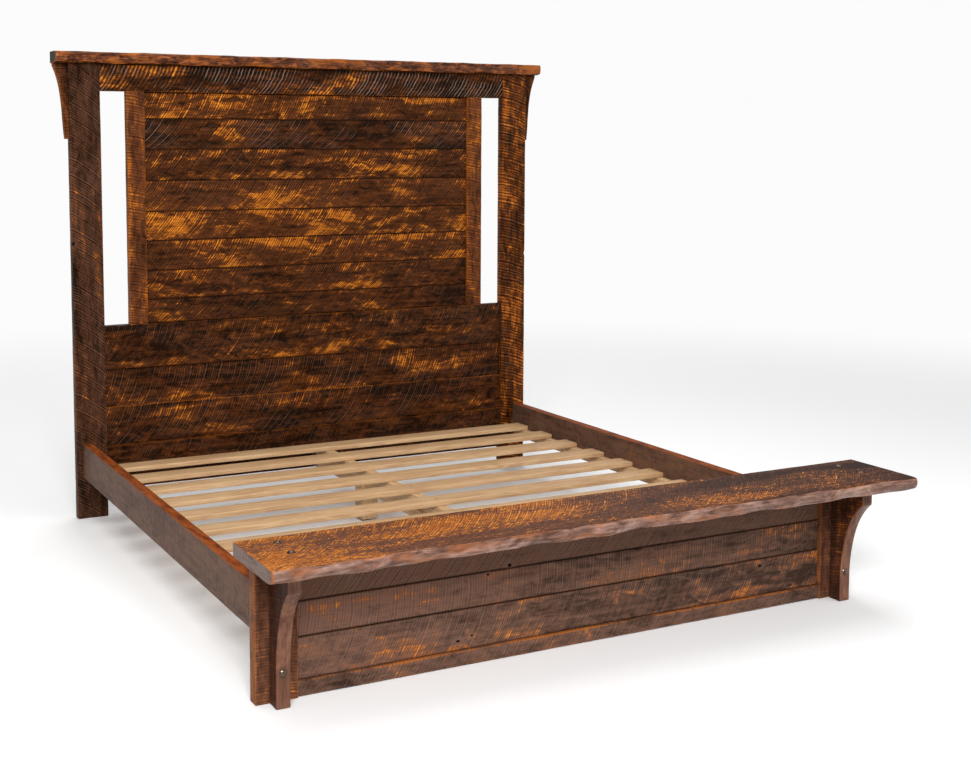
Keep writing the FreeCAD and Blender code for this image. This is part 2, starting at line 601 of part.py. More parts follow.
def make_batten_screws():
    """Screws from the battens into the footboard's boards."""
    tops = FOOT_PLANK_EDGES[1:] + [BENCH_BOTTOM]
    spots = {"left": -BATTEN_OFFSET, "centre": CENTRE_BATTEN_SCREW_X, "right": BATTEN_OFFSET}
    screws = []
    for label, x in spots.items():
        for board, bottom, top in zip(FOOT_PLANK_NAMES, FOOT_PLANK_EDGES, tops):
            at = VEC(x, BATTEN_BACK, (bottom + top) / 2)
            screws += drive_screws([(at, -Y_AXIS)], ["footboard_batten_" + label,
                                                     "footboard_plank_" + board])
    return screws


def make_middle_support():
    """Beam under the slats, its hangers, and three legs that straddle it."""
    half = BEAM_THICK / 2
    start = BATTEN_BACK + HANGER_THICK
    end = FRAME_FRONT - HANGER_THICK
    nodes["centre_beam"] = box(-half, half, start, end, BEAM_BOTTOM, SLAT_BOTTOM)
    hangers = []
    screws = []
    outer = half + HANGER_THICK
    top = BEAM_BOTTOM + HANGER_HEIGHT
    faces = [(BATTEN_BACK, 1, ["footboard_batten_centre", "footboard_plank_bottom"]),
             (FRAME_FRONT, -1, ["headboard_bottom_rail"])]
    for face, into_bed, behind in faces:
        span = sorted([face, face + into_bed * HANGER_DEPTH])
        hanger = box(-outer, outer, span[0], span[1], BEAM_BOTTOM - HANGER_THICK, top)
        inner = sorted([face + into_bed * HANGER_THICK, face + into_bed * (HANGER_DEPTH + 1)])
        hanger = hanger.cut(box(-half, half, inner[0], inner[1], BEAM_BOTTOM, top))
        places = [(VEC(0, face + into_bed * HANGER_THICK, z), Y_AXIS * -into_bed)
                  for z in (BEAM_BOTTOM + HANGER_SCREW_EDGE, top - HANGER_SCREW_EDGE)]
        for at, into in places:
            hanger = hanger.cut(screw(at, into, FIT_GAP))
        screws += drive_screws(places, behind)
        hangers.append(hanger)
    nodes["beam_hangers"] = Part.makeCompound(hangers)
    glides = []
    wide = LEG_SIZE / 2
    for i, label in enumerate(LEG_NAMES):
        y = start + (end - start) * (i + 1) / (len(LEG_NAMES) + 1)
        name = "centre_leg_" + label
        saddle = box(-half, half, y - wide, y + wide, BEAM_BOTTOM, BEAM_BOTTOM + LEG_SADDLE)
        nodes[name] = box(-wide, wide, y - wide, y + wide, GLIDE_HEIGHT,
                          BEAM_BOTTOM + LEG_SADDLE).cut(saddle)
        foot = VEC(0, y, 0)
        pin = VEC(0, y, GLIDE_HEIGHT)
        glides.append(Part.makeCylinder(GLIDE_RADIUS, GLIDE_HEIGHT, foot, Z_AXIS).fuse(
            Part.makeCylinder(GLIDE_SPIGOT_RADIUS, GLIDE_SPIGOT, pin, Z_AXIS)))
        hollow(name, Part.makeCylinder(GLIDE_SPIGOT_RADIUS + FIT_GAP, GLIDE_SPIGOT + FIT_GAP, pin,
                                       Z_AXIS))
        z = BEAM_BOTTOM + LEG_SADDLE / 2
        places = [(VEC(sign * wide, y + sign * wide / 2, z), X_AXIS * -sign) for sign in (-1, 1)]
        screws += drive_screws(places, [name, "centre_beam"])
    nodes["leg_glides"] = Part.makeCompound(glides)
    return screws


def main():
    """Make every piece, take out the holes, move the frame to its origin and write the files."""
    make_headboard_posts()
    make_headboard_rails()
    make_headboard_stiles()
    make_headboard_planks()
    make_headboard_cap()
    make_headboard_brackets()
    make_dowels()
    make_footboard_posts()
    make_footboard_panel()
    make_corbels()
    make_bench()
    make_corbel_bolts()
    make_side_rails()
    screws = make_rail_fittings()
    screws += make_slats()
    screws += make_cleat_screws()
    screws += make_batten_screws()
    screws += make_middle_support()
    nodes["wood_screws"] = Part.makeCompound(screws)
    for name, tools in holes.items():
        nodes[name] = nodes[name].cut(tools)

    extent = Part.makeCompound(list(nodes.values())).optimalBoundingBox(False)
    shift = VEC(-extent.Center.x, -extent.Center.y, -extent.ZMin)
    os.makedirs("parts", exist_ok=True)
    for name, shape in nodes.items():
        shape.translate(shift)
        shape.exportStep("parts/" + name + ".step")
        print(name, len(shape.Solids), "solid(s), valid", shape.isValid())
    print("size", round(extent.XLength, 1), round(extent.YLength, 1), round(extent.ZLength, 1))


main()
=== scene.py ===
import logging
import math
import random
from collections.abc import Callable, Iterator
from contextlib import contextmanager
from dataclasses import dataclass, replace
from enum import Enum

import bpy
import numpy as np
from mathutils import Matrix, Vector


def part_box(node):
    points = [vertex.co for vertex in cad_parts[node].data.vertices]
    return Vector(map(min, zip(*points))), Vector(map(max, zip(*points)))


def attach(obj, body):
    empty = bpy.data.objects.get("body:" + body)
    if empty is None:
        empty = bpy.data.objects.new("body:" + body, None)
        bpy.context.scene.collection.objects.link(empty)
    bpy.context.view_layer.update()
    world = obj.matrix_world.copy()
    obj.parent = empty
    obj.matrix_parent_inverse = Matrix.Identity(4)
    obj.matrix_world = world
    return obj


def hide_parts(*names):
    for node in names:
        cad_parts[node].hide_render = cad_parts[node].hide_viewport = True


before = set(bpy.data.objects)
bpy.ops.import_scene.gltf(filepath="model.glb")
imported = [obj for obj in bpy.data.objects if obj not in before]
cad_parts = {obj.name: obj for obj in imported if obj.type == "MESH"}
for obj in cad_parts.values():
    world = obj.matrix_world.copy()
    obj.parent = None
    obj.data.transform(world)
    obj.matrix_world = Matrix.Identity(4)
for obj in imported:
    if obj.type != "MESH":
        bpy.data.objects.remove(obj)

LOG = logging.getLogger("bed_frame")
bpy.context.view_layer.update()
BODY = "root"
SIDES = ("left", "right")
EDGE = "edge"
GROOVE_SHADE = (0.07, 0.05, 0.045)
SEAM_SHADE = (0.002, 0.0012, 0.001)
KNOT_SHADE = (0.006, 0.004, 0.003)
BLACK = (0.0, 0.0, 0.0)
WHITE = (1.0, 1.0, 1.0)
SMOOTH_ANGLE = math.radians(40)
EASED_ANGLE = math.radians(60)
EDGE_GAIN = 60.0
SMALLEST_PUSH = 1e-7
LEAST_REACH = 1e-6
BEAT_PHASE = 1.7
NOISE_SHIFT = (1.0, 1.7, 2.3)
NOISE_ROUGHNESS = 0.6
Array = np.ndarray
Amounts = Callable[[Array, Array, Array], Array]
Triple = tuple[float, float, float]
Colour = Triple


class Lay(Enum):
    """How a board lies: the directions of its length, its width and its face."""

    ACROSS = ((1, 0, 0), (0, 0, 1), (0, -1, 0))
    UPRIGHT = ((0, 0, 1), (-1, 0, 0), (0, -1, 0))
    FLAT = ((1, 0, 0), (0, 1, 0), (0, 0, 1))
    LEFT_SIDE = ((0, -1, 0), (0, 0, 1), (-1, 0, 0))
    RIGHT_SIDE = ((0, 1, 0), (0, 0, 1), (1, 0, 0))
    CORBEL = ((0, 0, 1), (0, -1, 0), (1, 0, 0))
    RIGHT_BRACKET = ((0, 0, 1), (1, 0, 0), (0, 1, 0))

    def turn(self) -> Matrix:
        """Rotation from the board's own directions to the bed's."""
        return Matrix(self.value).transposed()


@dataclass(frozen=True)
class Place:
    """Where a board is: how it lies and its two opposite corners."""

    lay: Lay
    low: Vector
    high: Vector

    def centre(self) -> Vector:
        """Middle of the board."""
        return (self.low + self.high) / 2

    def sizes(self) -> tuple[float, float, float]:
        """Length, width and thickness of the board.

        Returns:
            Three distances in metres.
        """
        span = self.high - self.low
        along, across, through = (abs(Vector(way).dot(span)) for way in self.lay.value)
        return along, across, through


def place_of(node: str, lay: Lay, **limits: tuple[float | None, float | None]) -> Place:
    """Place of a CAD node, with new limits along some axes.

    Args:
        node: name of the CAD node.
        lay: how the board lies.
        limits: least and greatest value by axis, None for the node's own.

    Returns:
        The board's place.
    """
    corners = [Vector(corner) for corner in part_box(node)]
    for axis, values in limits.items():
        for corner, value in zip(corners, values):
            if value is not None:
                setattr(corner, axis, value)
    return Place(lay, *corners)


@dataclass(frozen=True)
class SawMarks:
    """Arcs of a circular saw, each one a copy of the last moved along the board."""

    pitch: float = 0.0105
    radius: float = 0.42
    lean: float = 0.12
    depth: float = 0.0007
    wobble: float = 1.3
    wobble_pitches: float = 6.7
    swell_pitches: float = 2.9
    swell: float = 0.38
    phase: float = 0.0

    def track(self, u: object, v: object, most: Callable) -> object:
        """Position along the board, the same all along one arc of the saw."""
        off = v - self.lean
        return u - most(self.radius ** 2 - off * off, LEAST_REACH) ** 0.5

    def rows(self, track: object, sine: Callable, jitter: object = 0.0) -> object:
        """The marks from -1 to 1 on arrays or shader values, out of line by a jitter's angle.

        Args:
            track: positions from track().
            sine: sine for this kind of value.
            jitter: angle by which the marks are out of line.

        Returns:
            Depths as shares of the marks' own.
        """
        turn = track * (math.tau / self.pitch) + jitter
        row = sine(turn + sine(turn / self.wobble_pitches + self.phase) * self.wobble)
        beat = sine(turn / self.swell_pitches + self.phase * BEAT_PHASE)
        return row * (beat * self.swell + (1.0 - self.swell))

    def heights(self, u: Array, v: Array, w: Array) -> Array:
        """Heights of the marks at positions along, across and through a board."""
        return self.rows(self.track(u, v, np.maximum), np.sin) * (self.depth / 2)


@dataclass(frozen=True)
class Knot:
    """A small hole or knot: its place as shares of the board's half sizes, and its size."""

    along: float
    across: float
    radius: float
    depth: float
    stretch: float = 0.65
    reach: float = 1.25

    def centre(self, place: Place) -> tuple[float, float]:
        """Where the knot is, along and across a board."""
        length, width, _ = place.sizes()
        return self.along * length / 2, self.across * width / 2

    def pit(self, place: Place) -> Amounts:
        """The hole in a board's front face, as depths at positions on the board.

        Args:
            place: where the board is.

        Returns:
            A function for Board.push.
        """
        at_u, at_v = self.centre(place)
        front = place.sizes()[2] * 0.3

        def depths(u: Array, v: Array, w: Array) -> Array:
            """How far the face sinks.

            Args:
                u: positions along the board.
                v: positions across it.
                w: positions through it.

            Returns:
                Distances in metres.
            """
            away = np.hypot((u - at_u) * self.stretch, v - at_v)
            return -self.depth * np.clip(self.reach - away / self.radius, 0.0, 1.0) * (w > front)

        return depths


def operator(operation: str, swapped: bool = False) -> Callable[["Signal", object], "Signal"]:
    """Make an operator's method out of a Math node's operation.

    Args:
        operation: the node's operation.
        swapped: whether the other value comes first.

    Returns:
        The method.
    """
    def combined(self: "Signal", other: object) -> "Signal":
        """Result of the operation on this value and another."""
        return self.combine(operation, *((other, self) if swapped else (self, other)))

    return combined


@dataclass(frozen=True)
class Cloud:
    """A cloudy pattern: its clouds per metre by axis, where it starts and how fine it is."""

    size: Triple
    start: float = 0.0
    detail: float = 3.0
    distortion: float = 0.0


class Signal:
    """A shader value on which sums can be written."""

    def __init__(self, graph: "Graph", socket: bpy.types.NodeSocket) -> None:
        """Wrap one output socket."""
        self.graph = graph
        self.socket = socket

    def combine(self, operation: str, first: object, second: object = None) -> "Signal":
        """Result of a Math node on one or two values."""
        values = {0: first} if second is None else {0: first, 1: second}
        return self.graph.value("ShaderNodeMath", {"operation": operation}, values)

    __add__ = __radd__ = operator("ADD")
    __mul__ = __rmul__ = operator("MULTIPLY")
    __sub__, __rsub__ = operator("SUBTRACT"), operator("SUBTRACT", swapped=True)
    __truediv__ = operator("DIVIDE")
    __pow__ = operator("POWER")
    most = operator("MAXIMUM")

    def __abs__(self) -> "Signal":
        """Size without its sign."""
        return self.combine("ABSOLUTE", self)

    def sine(self) -> "Signal":
        """Sine of the value, in radians."""
        return self.combine("SINE", self)

    def held(self) -> "Signal":
        """The value kept between 0 and 1."""
        return self.graph.value("ShaderNodeClamp", {}, {"Value": self})

    def rise(self, start: float, end: float) -> "Signal":
        """0 below start and 1 above end, with a soft step between.

        Args:
            start: value where the step starts.
            end: value where it ends.

        Returns:
            The step.
        """
        settings = {"interpolation_type": "SMOOTHSTEP"}
        return self.graph.value("ShaderNodeMapRange", settings,
                                {"Value": self, "From Min": start, "From Max": end})


class Graph:
    """A node tree and short ways to add to it."""

    def __init__(self, tree: bpy.types.NodeTree) -> None:
        """Work on a node tree."""
        self.tree = tree

    def node(self, kind: str, settings: dict, inputs: dict) -> bpy.types.Node:
        """Add a node.

        Args:
            kind: the node's type.
            settings: the node's own settings; "stops" gives a colour ramp's stops.
            inputs: values or links by socket name or number.

        Returns:
            The new node.
        """
        made = self.tree.nodes.new(kind)
        for key, value in settings.items():
            if key == "stops":
                self.set_stops(made.color_ramp, value)
            else:
                setattr(made, key, value)
        for key, value in inputs.items():
            self.feed(made.inputs[key], value)
        return made

    def set_stops(self, ramp: bpy.types.ColorRamp, stops: list[tuple[float, Colour]]) -> None:
        """Give a colour ramp its stops.

        Args:
            ramp: the colour ramp.
            stops: a position and a colour for each stop.
        """
        while len(ramp.elements) < len(stops):
            ramp.elements.new(1.0)
        for element, (position, colour) in zip(ramp.elements, stops):
            element.position = position
            element.color = (*colour, 1.0)

    def feed(self, socket: bpy.types.NodeSocket, value: object) -> None:
        """Link or set one input.

        Args:
            socket: the input.
            value: a value, or an output to link.
        """
        if isinstance(value, Signal):
            value = value.socket
        if isinstance(value, bpy.types.NodeSocket):
            self.tree.links.new(value, socket)
        elif socket.type == "RGBA":
            socket.default_value = (*value, 1.0)
        else:
            socket.default_value = value

    def value(self, kind: str, settings: dict, inputs: dict, output: int | str = 0) -> Signal:
        """Add a node and wrap one of its outputs."""
        return Signal(self, self.node(kind, settings, inputs).outputs[output])

    def ramp(self, value: Signal, stops: list[tuple[float, Colour]]) -> Signal:
        """Colour from a value."""
        return self.value("ShaderNodeValToRGB", {"stops": stops}, {"Fac": value}, "Color")

    def mix(self, share: object, first: object, second: object, how: str = "MIX") -> Signal:
        """Mix two colours."""
        settings = {"data_type": "RGBA", "blend_type": how}
        return self.value("ShaderNodeMix", settings, {0: share, 6: first, 7: second}, 2)

    def noise(self, vector: Signal, cloud: Cloud, seed: float = 0.0) -> Signal:
        """Value of a cloudy pattern at a position, moved by a seed.

        Args:
            vector: the position.
            cloud: the pattern.
            seed: how far the pattern is moved.

        Returns:
            The pattern's value.
        """
        start = tuple((cloud.start + seed) * way for way in NOISE_SHIFT)
        moved = self.value("ShaderNodeVectorMath", {"operation": "MULTIPLY_ADD"},
                           {0: vector, 1: cloud.size, 2: start})
        return self.value("ShaderNodeTexNoise", {},
                          {"Vector": moved, "Scale": 1.0, "Detail": cloud.detail,
                           "Roughness": NOISE_ROUGHNESS, "Distortion": cloud.distortion})

    def vector(self, x: object, y: object, z: object) -> Signal:
        """Position from three values."""
        return self.value("ShaderNodeCombineXYZ", {}, {0: x, 1: y, 2: z})

    def parts(self, vector: object) -> tuple[Signal, ...]:
        """The three values of a position or direction."""
        split = self.node("ShaderNodeSeparateXYZ", {}, {0: vector})
        return tuple(Signal(self, output) for output in split.outputs)

    def facing(self) -> tuple[Signal, ...]:
        """How far the surface faces along X, Y and Z."""
        return self.parts(self.value("ShaderNodeNewGeometry", {}, {}, "Normal"))

    def edge(self) -> Signal:
        """1 on the edges of a board and 0 away from them."""
        return self.value("ShaderNodeAttribute", {"attribute_name": EDGE}, {}, "Fac")

    def bed_position(self) -> Signal:
        """Position in the bed's directions."""
        return self.value("ShaderNodeTexCoord", {}, {}, "Object")

    def own_position(self, place: Place) -> Signal:
        """Position in a board's own directions, from its middle.

        Args:
            place: where the board is.

        Returns:
            The position in metres.
        """
        turn = place.lay.turn().transposed()
        return self.value("ShaderNodeMapping", {},
                          {"Vector": self.bed_position(), "Location": -(turn @ place.centre()),
                           "Rotation": turn.to_euler()})


class Surface(Graph):
    """Node tree of a new material, and what feeds its surface shader."""

    def __init__(self, name: str) -> None:
        """Start a material that has only a surface shader.

        Args:
            name: the material's name.
        """
        self.material = bpy.data.materials.new(name)
        self.material.use_nodes = True
        super().__init__(self.material.node_tree)
        self.tree.nodes.clear()
        self.shader = self.node("ShaderNodeBsdfPrincipled", {}, {})
        self.node("ShaderNodeOutputMaterial", {}, {"Surface": self.shader.outputs["BSDF"]})

    def set(self, **values: object) -> None:
        """Feed inputs of the shader, named with _ in place of each space."""
        for name, value in values.items():
            self.feed(self.shader.inputs[name.replace("_", " ")], value)

    def fed(self, name: str) -> Signal:
        """What feeds an input of the shader."""
        return Signal(self, self.shader.inputs[name].links[0].from_socket)

    def carve(self, height: Signal, relief: float, strength: float = 0.6) -> None:
        """Give the surface a fine relief, its depth in metres."""
        inputs = {"Height": height, "Distance": relief, "Strength": strength}
        self.set(Normal=self.value("ShaderNodeBump", {}, inputs, "Normal"))


@dataclass(frozen=True)
class RoughSawnFinish:
    """Dark stain over saw marks, rubbed through to amber on the high spots."""

    name: str
    seed: float = 0.0
    dark: Colour = (0.012, 0.0045, 0.002)
    brown: Colour = (0.125, 0.037, 0.0105)
    rust: Colour = (0.135, 0.040, 0.010)
    amber: Colour = (0.36, 0.10, 0.010)
    bright: Colour = (0.68, 0.25, 0.028)
    grey: Colour = (0.17, 0.13, 0.11)
    amber_share: float = 0.45
    tone: float = 0.5
    light_ridges: float = 0.5
    sharpness: float = 7.0
    kerf_stain: float = 0.75
    streak_stain: float = 1.8
    softness: float = 0.3
    saw: SawMarks = SawMarks()
    knots: tuple[Knot, ...] = ()
    roughness: float = 0.36
    coat: float = 0.012
    coat_roughness: float = 0.22
    specular: float = 0.05
    fleck_weight: float = 0.65
    stroke_weight: float = 0.45
    shine: Colour = (1.0, 0.55, 0.34)
    amber_slope: float = 0.0
    tone_slope: float = 0.0
    seam: float = 0.0
    worn_edge: float = 0.5
    relief: float = 0.0016
    jitter: float = 5.0
    jitters: Cloud = Cloud((9.0, 30.0, 30.0), 3.0, 2.0)
    strokes: Cloud = Cloud((105.0, 13.0, 1.0), 3.0, 2.0, 0.3)
    grains: Cloud = Cloud((3.5, 60.0, 60.0), 0.0, 4.0)
    streaks: Cloud = Cloud((16.0, 300.0, 300.0), 5.0)
    patches: Cloud = Cloud((2.6, 9.0, 9.0), 11.0, 2.0, 0.7)
    flecks: Cloud = Cloud((15.0, 34.0, 34.0), 17.0, 4.0, 1.2)
    gaps: Cloud = Cloud((5.0, 9.0, 9.0), 23.0, 2.0)

    def material(self, place: Place) -> bpy.types.Material:
        """Make the finish for one board.

        Args:
            place: where the board is.

        Returns:
            The material.
        """
        return self.graph(place).material

    def graph(self, place: Place) -> Surface:
        """Build the finish's node tree for one board.

        Args:
            place: where the board is.

        Returns:
            The finished node tree.
        """
        graph = Surface(self.name)
        here = graph.own_position(place)
        u, v, _ = graph.parts(here)
        track = self.saw.track(u, v, Signal.most)
        jitter = (graph.noise(here, self.jitters, self.seed) - 0.5) * self.jitter
        ridge = self.saw.rows(track, Signal.sine, jitter) * 0.5 + 0.5
        stroke = graph.noise(graph.vector(track, v, self.seed), self.strokes)
        grain = graph.noise(here, self.grains, self.seed)
        streak = graph.noise(here, self.streaks, self.seed)
        patch = graph.noise(here, self.patches, self.seed)
        fleck = graph.noise(here, self.flecks, self.seed)
        arris = graph.edge()
        # Where the stain is rubbed through: high spots, in patches and flecks.
        weights = 0.75 + (self.fleck_weight + self.stroke_weight) / 2
        rub = (patch * 1.15 + fleck * self.fleck_weight + stroke * self.stroke_weight
               + grain * 0.25 + ridge * 0.1 + u * self.amber_slope
               - (weights + 0.35 - self.softness / 2 - 0.45 * self.amber_share)
               ).rise(0.0, self.softness)
        # Stain where it holds, made darker towards one end by a painted shade slope, and bare
        # wood glowing from rust to amber where it doesn't.
        shade = (patch * 0.8 + grain * 0.6 + fleck * 1.0 + stroke * 0.45 + u * self.tone_slope
                 + self.tone * 0.6 - 1.335).held()
        stain = graph.ramp(shade, [(0.22, self.dark), (0.72, self.brown)])
        heat = (rub * 0.5 + stroke * 0.8 + fleck * 0.8 + streak * 0.6 + ridge * 0.35
                - 1.275).held()
        glow = graph.ramp(heat, [(0.22, self.rust), (0.55, self.amber), (0.9, self.bright)])
        colour = graph.mix(rub, stain, glow)
        shown = graph.noise(here, self.gaps, self.seed).rise(0.38, 0.62)
        # Painted highlights: grey on the ridges of the saw marks. Edges worn to amber, partly
        # real wear and partly a painted highlight. Kerfs between the ridges darkened, partly by
        # stain and partly by painted shade.
        lines = (ridge ** self.sharpness) * shown * (1.0 - rub * 0.8) * self.light_ridges
        colour = graph.mix(lines.held(), colour, self.grey)
        # Edges worn through to amber: partly real wear, partly a painted highlight where light
        # catches the arris.
        worn = ((arris ** 3.0) * fleck * patch * 4.0).rise(0.5, 1.2) * self.worn_edge
        colour = graph.mix(worn.held(), colour, self.amber)
        # Dark kerfs: partly stain held in the grooves, partly painted shade in them. The dark
        # grain streaks are stain.
        kerf = ((1.0 - ridge) ** 2.2) * (stroke * 3.0 - 0.65).held() * self.kerf_stain
        groove = (kerf + (0.5 - streak).held() * self.streak_stain).held()
        colour = graph.mix(groove, colour, GROOVE_SHADE, "MULTIPLY")
        # Painted shadow: the board's edges darkened almost to black, as the seams between boards
        # would lie in shade.
        if self.seam:
            colour = graph.mix((arris ** 3.0) * self.seam, colour, SEAM_SHADE)
        for knot in self.knots:
            colour = self.knot_stain(graph, colour, u, v, place, knot)
        graph.set(Base_Color=colour, Roughness=self.roughness + streak * 0.3 - ridge * 0.08,
                  Coat_Weight=self.coat, Coat_Roughness=self.coat_roughness,
                  Specular_IOR_Level=self.specular, Specular_Tint=self.shine)
        graph.carve(ridge * 0.62 + streak * 0.28 + grain * 0.22, self.relief)
        return graph

    def knot_stain(self, graph: Graph, colour: Signal, u: Signal, v: Signal, place: Place,
                   knot: Knot) -> Signal:
        """Darken the wood in and round a knot.

        Args:
            graph: node tree of the finish.
            colour: colour of the wood.
            u: position along the board.
            v: position across it.
            place: where the board is.
            knot: the knot.

        Returns:
            The colour with the knot in it.
        """
        at_u, at_v = knot.centre(place)
        du, dv = u - at_u, v - at_v
        away = (du * du * 0.4 + dv * dv) ** 0.5
        core = 1.0 - away.rise(knot.radius * 0.6, knot.radius * 1.2)
        halo = 1.0 - away.rise(knot.radius, knot.radius * 4.0)
        colour = graph.mix(halo * 0.45, colour, self.brown)
        return graph.mix(core, colour, KNOT_SHADE)


@dataclass(frozen=True)
class LiveEdgeFinish(RoughSawnFinish):
    """Rough-sawn slab whose front keeps the smooth waving edge of the tree."""

    bark: Colour = (0.145, 0.078, 0.058)
    bark_light: Colour = (0.30, 0.185, 0.15)
    bark_dark: Colour = (0.055, 0.024, 0.016)
    end_grain: Colour = (0.15, 0.10, 0.082)
    edge_roughness: float = 0.24
    edge_coat: float = 0.2
    blush: float = 0.2
    rim: float = 1.5
    mottle: Cloud = Cloud((11.0, 40.0, 26.0), 31.0, 4.0, 0.8)
    threads: Cloud = Cloud((12.0, 120.0, 170.0), 37.0)
    blushes: Cloud = Cloud((6.0, 10.0, 22.0), 41.0)
    rings: Cloud = Cloud((30.0, 14.0, 90.0), 43.0, 3.0, 0.5)
    end_share: float = 1.0

    def graph(self, place: Place) -> Surface:
        """Build the slab's node tree, with another look on its front and ends.

        Args:
            place: where the slab is.

        Returns:
            The finished node tree.
        """
        graph = RoughSawnFinish.graph(self, place)
        sideways, away, _ = graph.facing()
        front = (away * -1.0).rise(0.45, 0.75)
        ends = abs(sideways).rise(0.6, 0.85)
        here = graph.own_position(place)
        cloud = graph.noise(here, self.mottle, self.seed)
        thread = graph.noise(here, self.threads, self.seed)
        blush = graph.noise(here, self.blushes, self.seed).rise(0.5, 0.66)
        bark = graph.ramp((cloud * 1.6 + thread * 0.8 - 0.72).held(),
                          [(0.22, self.bark_dark), (0.5, self.bark), (0.85, self.bark_light)])
        bark = graph.mix(blush * self.blush, bark, self.amber)
        rings = graph.noise(here, self.rings, self.seed)
        grain = graph.ramp(rings, [(0.2, self.bark_dark), (0.55, self.end_grain)])
        colour = graph.mix(front, graph.fed("Base Color"), bark)
        colour = graph.mix(ends * self.end_share, colour, grain)
        rim = ((graph.edge() ** 4.0) * cloud * self.rim - 0.35).held()
        smooth = front * 0.9
        rough = graph.fed("Roughness") * (1.0 - smooth) + smooth * self.edge_roughness
        graph.set(Base_Color=graph.mix(rim, colour, self.amber), Roughness=rough,
                  Coat_Weight=front * self.edge_coat + self.coat)
        return graph


@dataclass(frozen=True)
class RailFinish(RoughSawnFinish):
    """Rough-sawn rail whose top edge is coloured a warm red."""

    top_edge: Colour = (0.26, 0.062, 0.012)
    top_dark: Colour = (0.09, 0.022, 0.008)
    rubs: Cloud = Cloud((14.0, 60.0, 60.0), 29.0, 4.0)

    def graph(self, place: Place) -> Surface:
        """Build the rail's node tree, with another colour on its top.

        Args:
            place: where the rail is.

        Returns:
            The finished node tree.
        """
        graph = RoughSawnFinish.graph(self, place)
        # Faces that look up take their own colour, a cloud from a dark to a warm red.
        up = graph.facing()[2].rise(0.5, 0.8)
        cloud = graph.noise(graph.own_position(place), self.rubs, self.seed)
        rubbed = graph.ramp(cloud, [(0.35, self.top_dark), (0.62, self.top_edge)])
        graph.set(Base_Color=graph.mix(up, graph.fed("Base Color"), rubbed))
        return graph


@dataclass(frozen=True)
class PlanedFinish:
    """Planed wood with plain grain, bare or stained."""

    name: str
    seed: float = 0.0
    pale: Colour = (0.55, 0.36, 0.19)
    deep: Colour = (0.33, 0.18, 0.08)
    roughness: float = 0.5
    relief: float = 0.0006
    lines_per_band: float = 42.0
    bands: Cloud = Cloud((1.6, 34.0, 34.0), 0.0, 3.0, 0.6)
    pores: Cloud = Cloud((22.0, 420.0, 420.0), 7.0, 2.0)
    shades: Cloud = Cloud((4.0, 9.0, 9.0), 13.0)

    def material(self, place: Place) -> bpy.types.Material:
        """Make the finish for one board.

        Args:
            place: where the board is.

        Returns:
            The material.
        """
        graph = Surface(self.name)
        here = graph.own_position(place)
        bands = graph.noise(here, self.bands, self.seed)
        lines = (bands * self.lines_per_band).sine() * 0.5 + 0.5
        pores = graph.noise(here, self.pores, self.seed)
        cloud = graph.noise(here, self.shades, self.seed)
        share = (lines * 0.28 + pores * 0.4 + cloud * 0.75 - 0.25).held()
        colour = graph.ramp(share, [(0.15, self.deep), (0.8, self.pale)])
        graph.set(Base_Color=colour, Roughness=self.roughness + pores * 0.15)
        graph.carve(pores * 0.6 + lines * 0.2, self.relief)
        return graph.material


@dataclass(frozen=True)
class MetalFinish:
    """Metal or moulded plastic with small marks of use."""

    name: str
    base: Colour
    spots: Colour
    metallic: float
    roughness: float
    tarnish: Cloud = Cloud((90.0, 90.0, 90.0), 3.0)
    specks: Cloud = Cloud((900.0, 900.0, 900.0), 9.0, 2.0)
    relief: float = 0.0002

    def material(self) -> bpy.types.Material:
        """Make the finish.

        Returns:
            The material.
        """
        graph = Surface(self.name)
        here = graph.bed_position()
        cloud = graph.noise(here, self.tarnish)
        fine = graph.noise(here, self.specks)
        colour = graph.ramp((cloud * 0.8 + fine * 0.4 - 0.1).held(),
                            [(0.3, self.spots), (0.7, self.base)])
        graph.set(Base_Color=colour, Metallic=self.metallic,
                  Roughness=self.roughness + cloud * 0.2 - 0.1)
        graph.carve(fine, self.relief)
        return graph.material


def pick(piece: bpy.types.Object) -> None:
    """Make an object the only selected one and the active one.

    Args:
        piece: the object.
    """
    bpy.ops.object.select_all(action="DESELECT")
    piece.select_set(True)
    bpy.context.view_layer.objects.active = piece


@contextmanager
def editing(piece: bpy.types.Object, whole: bool = True) -> Iterator[None]:
    """Edit an object's mesh, at first with the whole of it selected or as it was.

    Args:
        piece: the object.
        whole: whether all of the mesh is selected.

    Returns:
        Nothing; the mesh can be edited meanwhile.
    """
    pick(piece)
    bpy.ops.object.mode_set(mode="EDIT")
    if whole:
        bpy.ops.mesh.select_all(action="SELECT")
    yield
    bpy.ops.object.mode_set(mode="OBJECT")


def slice_mesh(at: Triple, normal: Triple) -> None:
    """Cut the mesh being edited along a plane."""
    bpy.ops.mesh.select_all(action="SELECT")
    bpy.ops.mesh.bisect(plane_co=at, plane_no=normal)


def read_all(items: bpy.types.bpy_prop_collection, name: str, size: int = 1) -> Array:
    """One property of every item, in rows of the property's size.

    Args:
        items: points, faces or corners of a mesh.
        name: the property.
        size: how many numbers it has.

    Returns:
        The values.
    """
    values = np.empty(len(items) * size)
    items.foreach_get(name, values)
    return values.reshape(-1, size).squeeze()


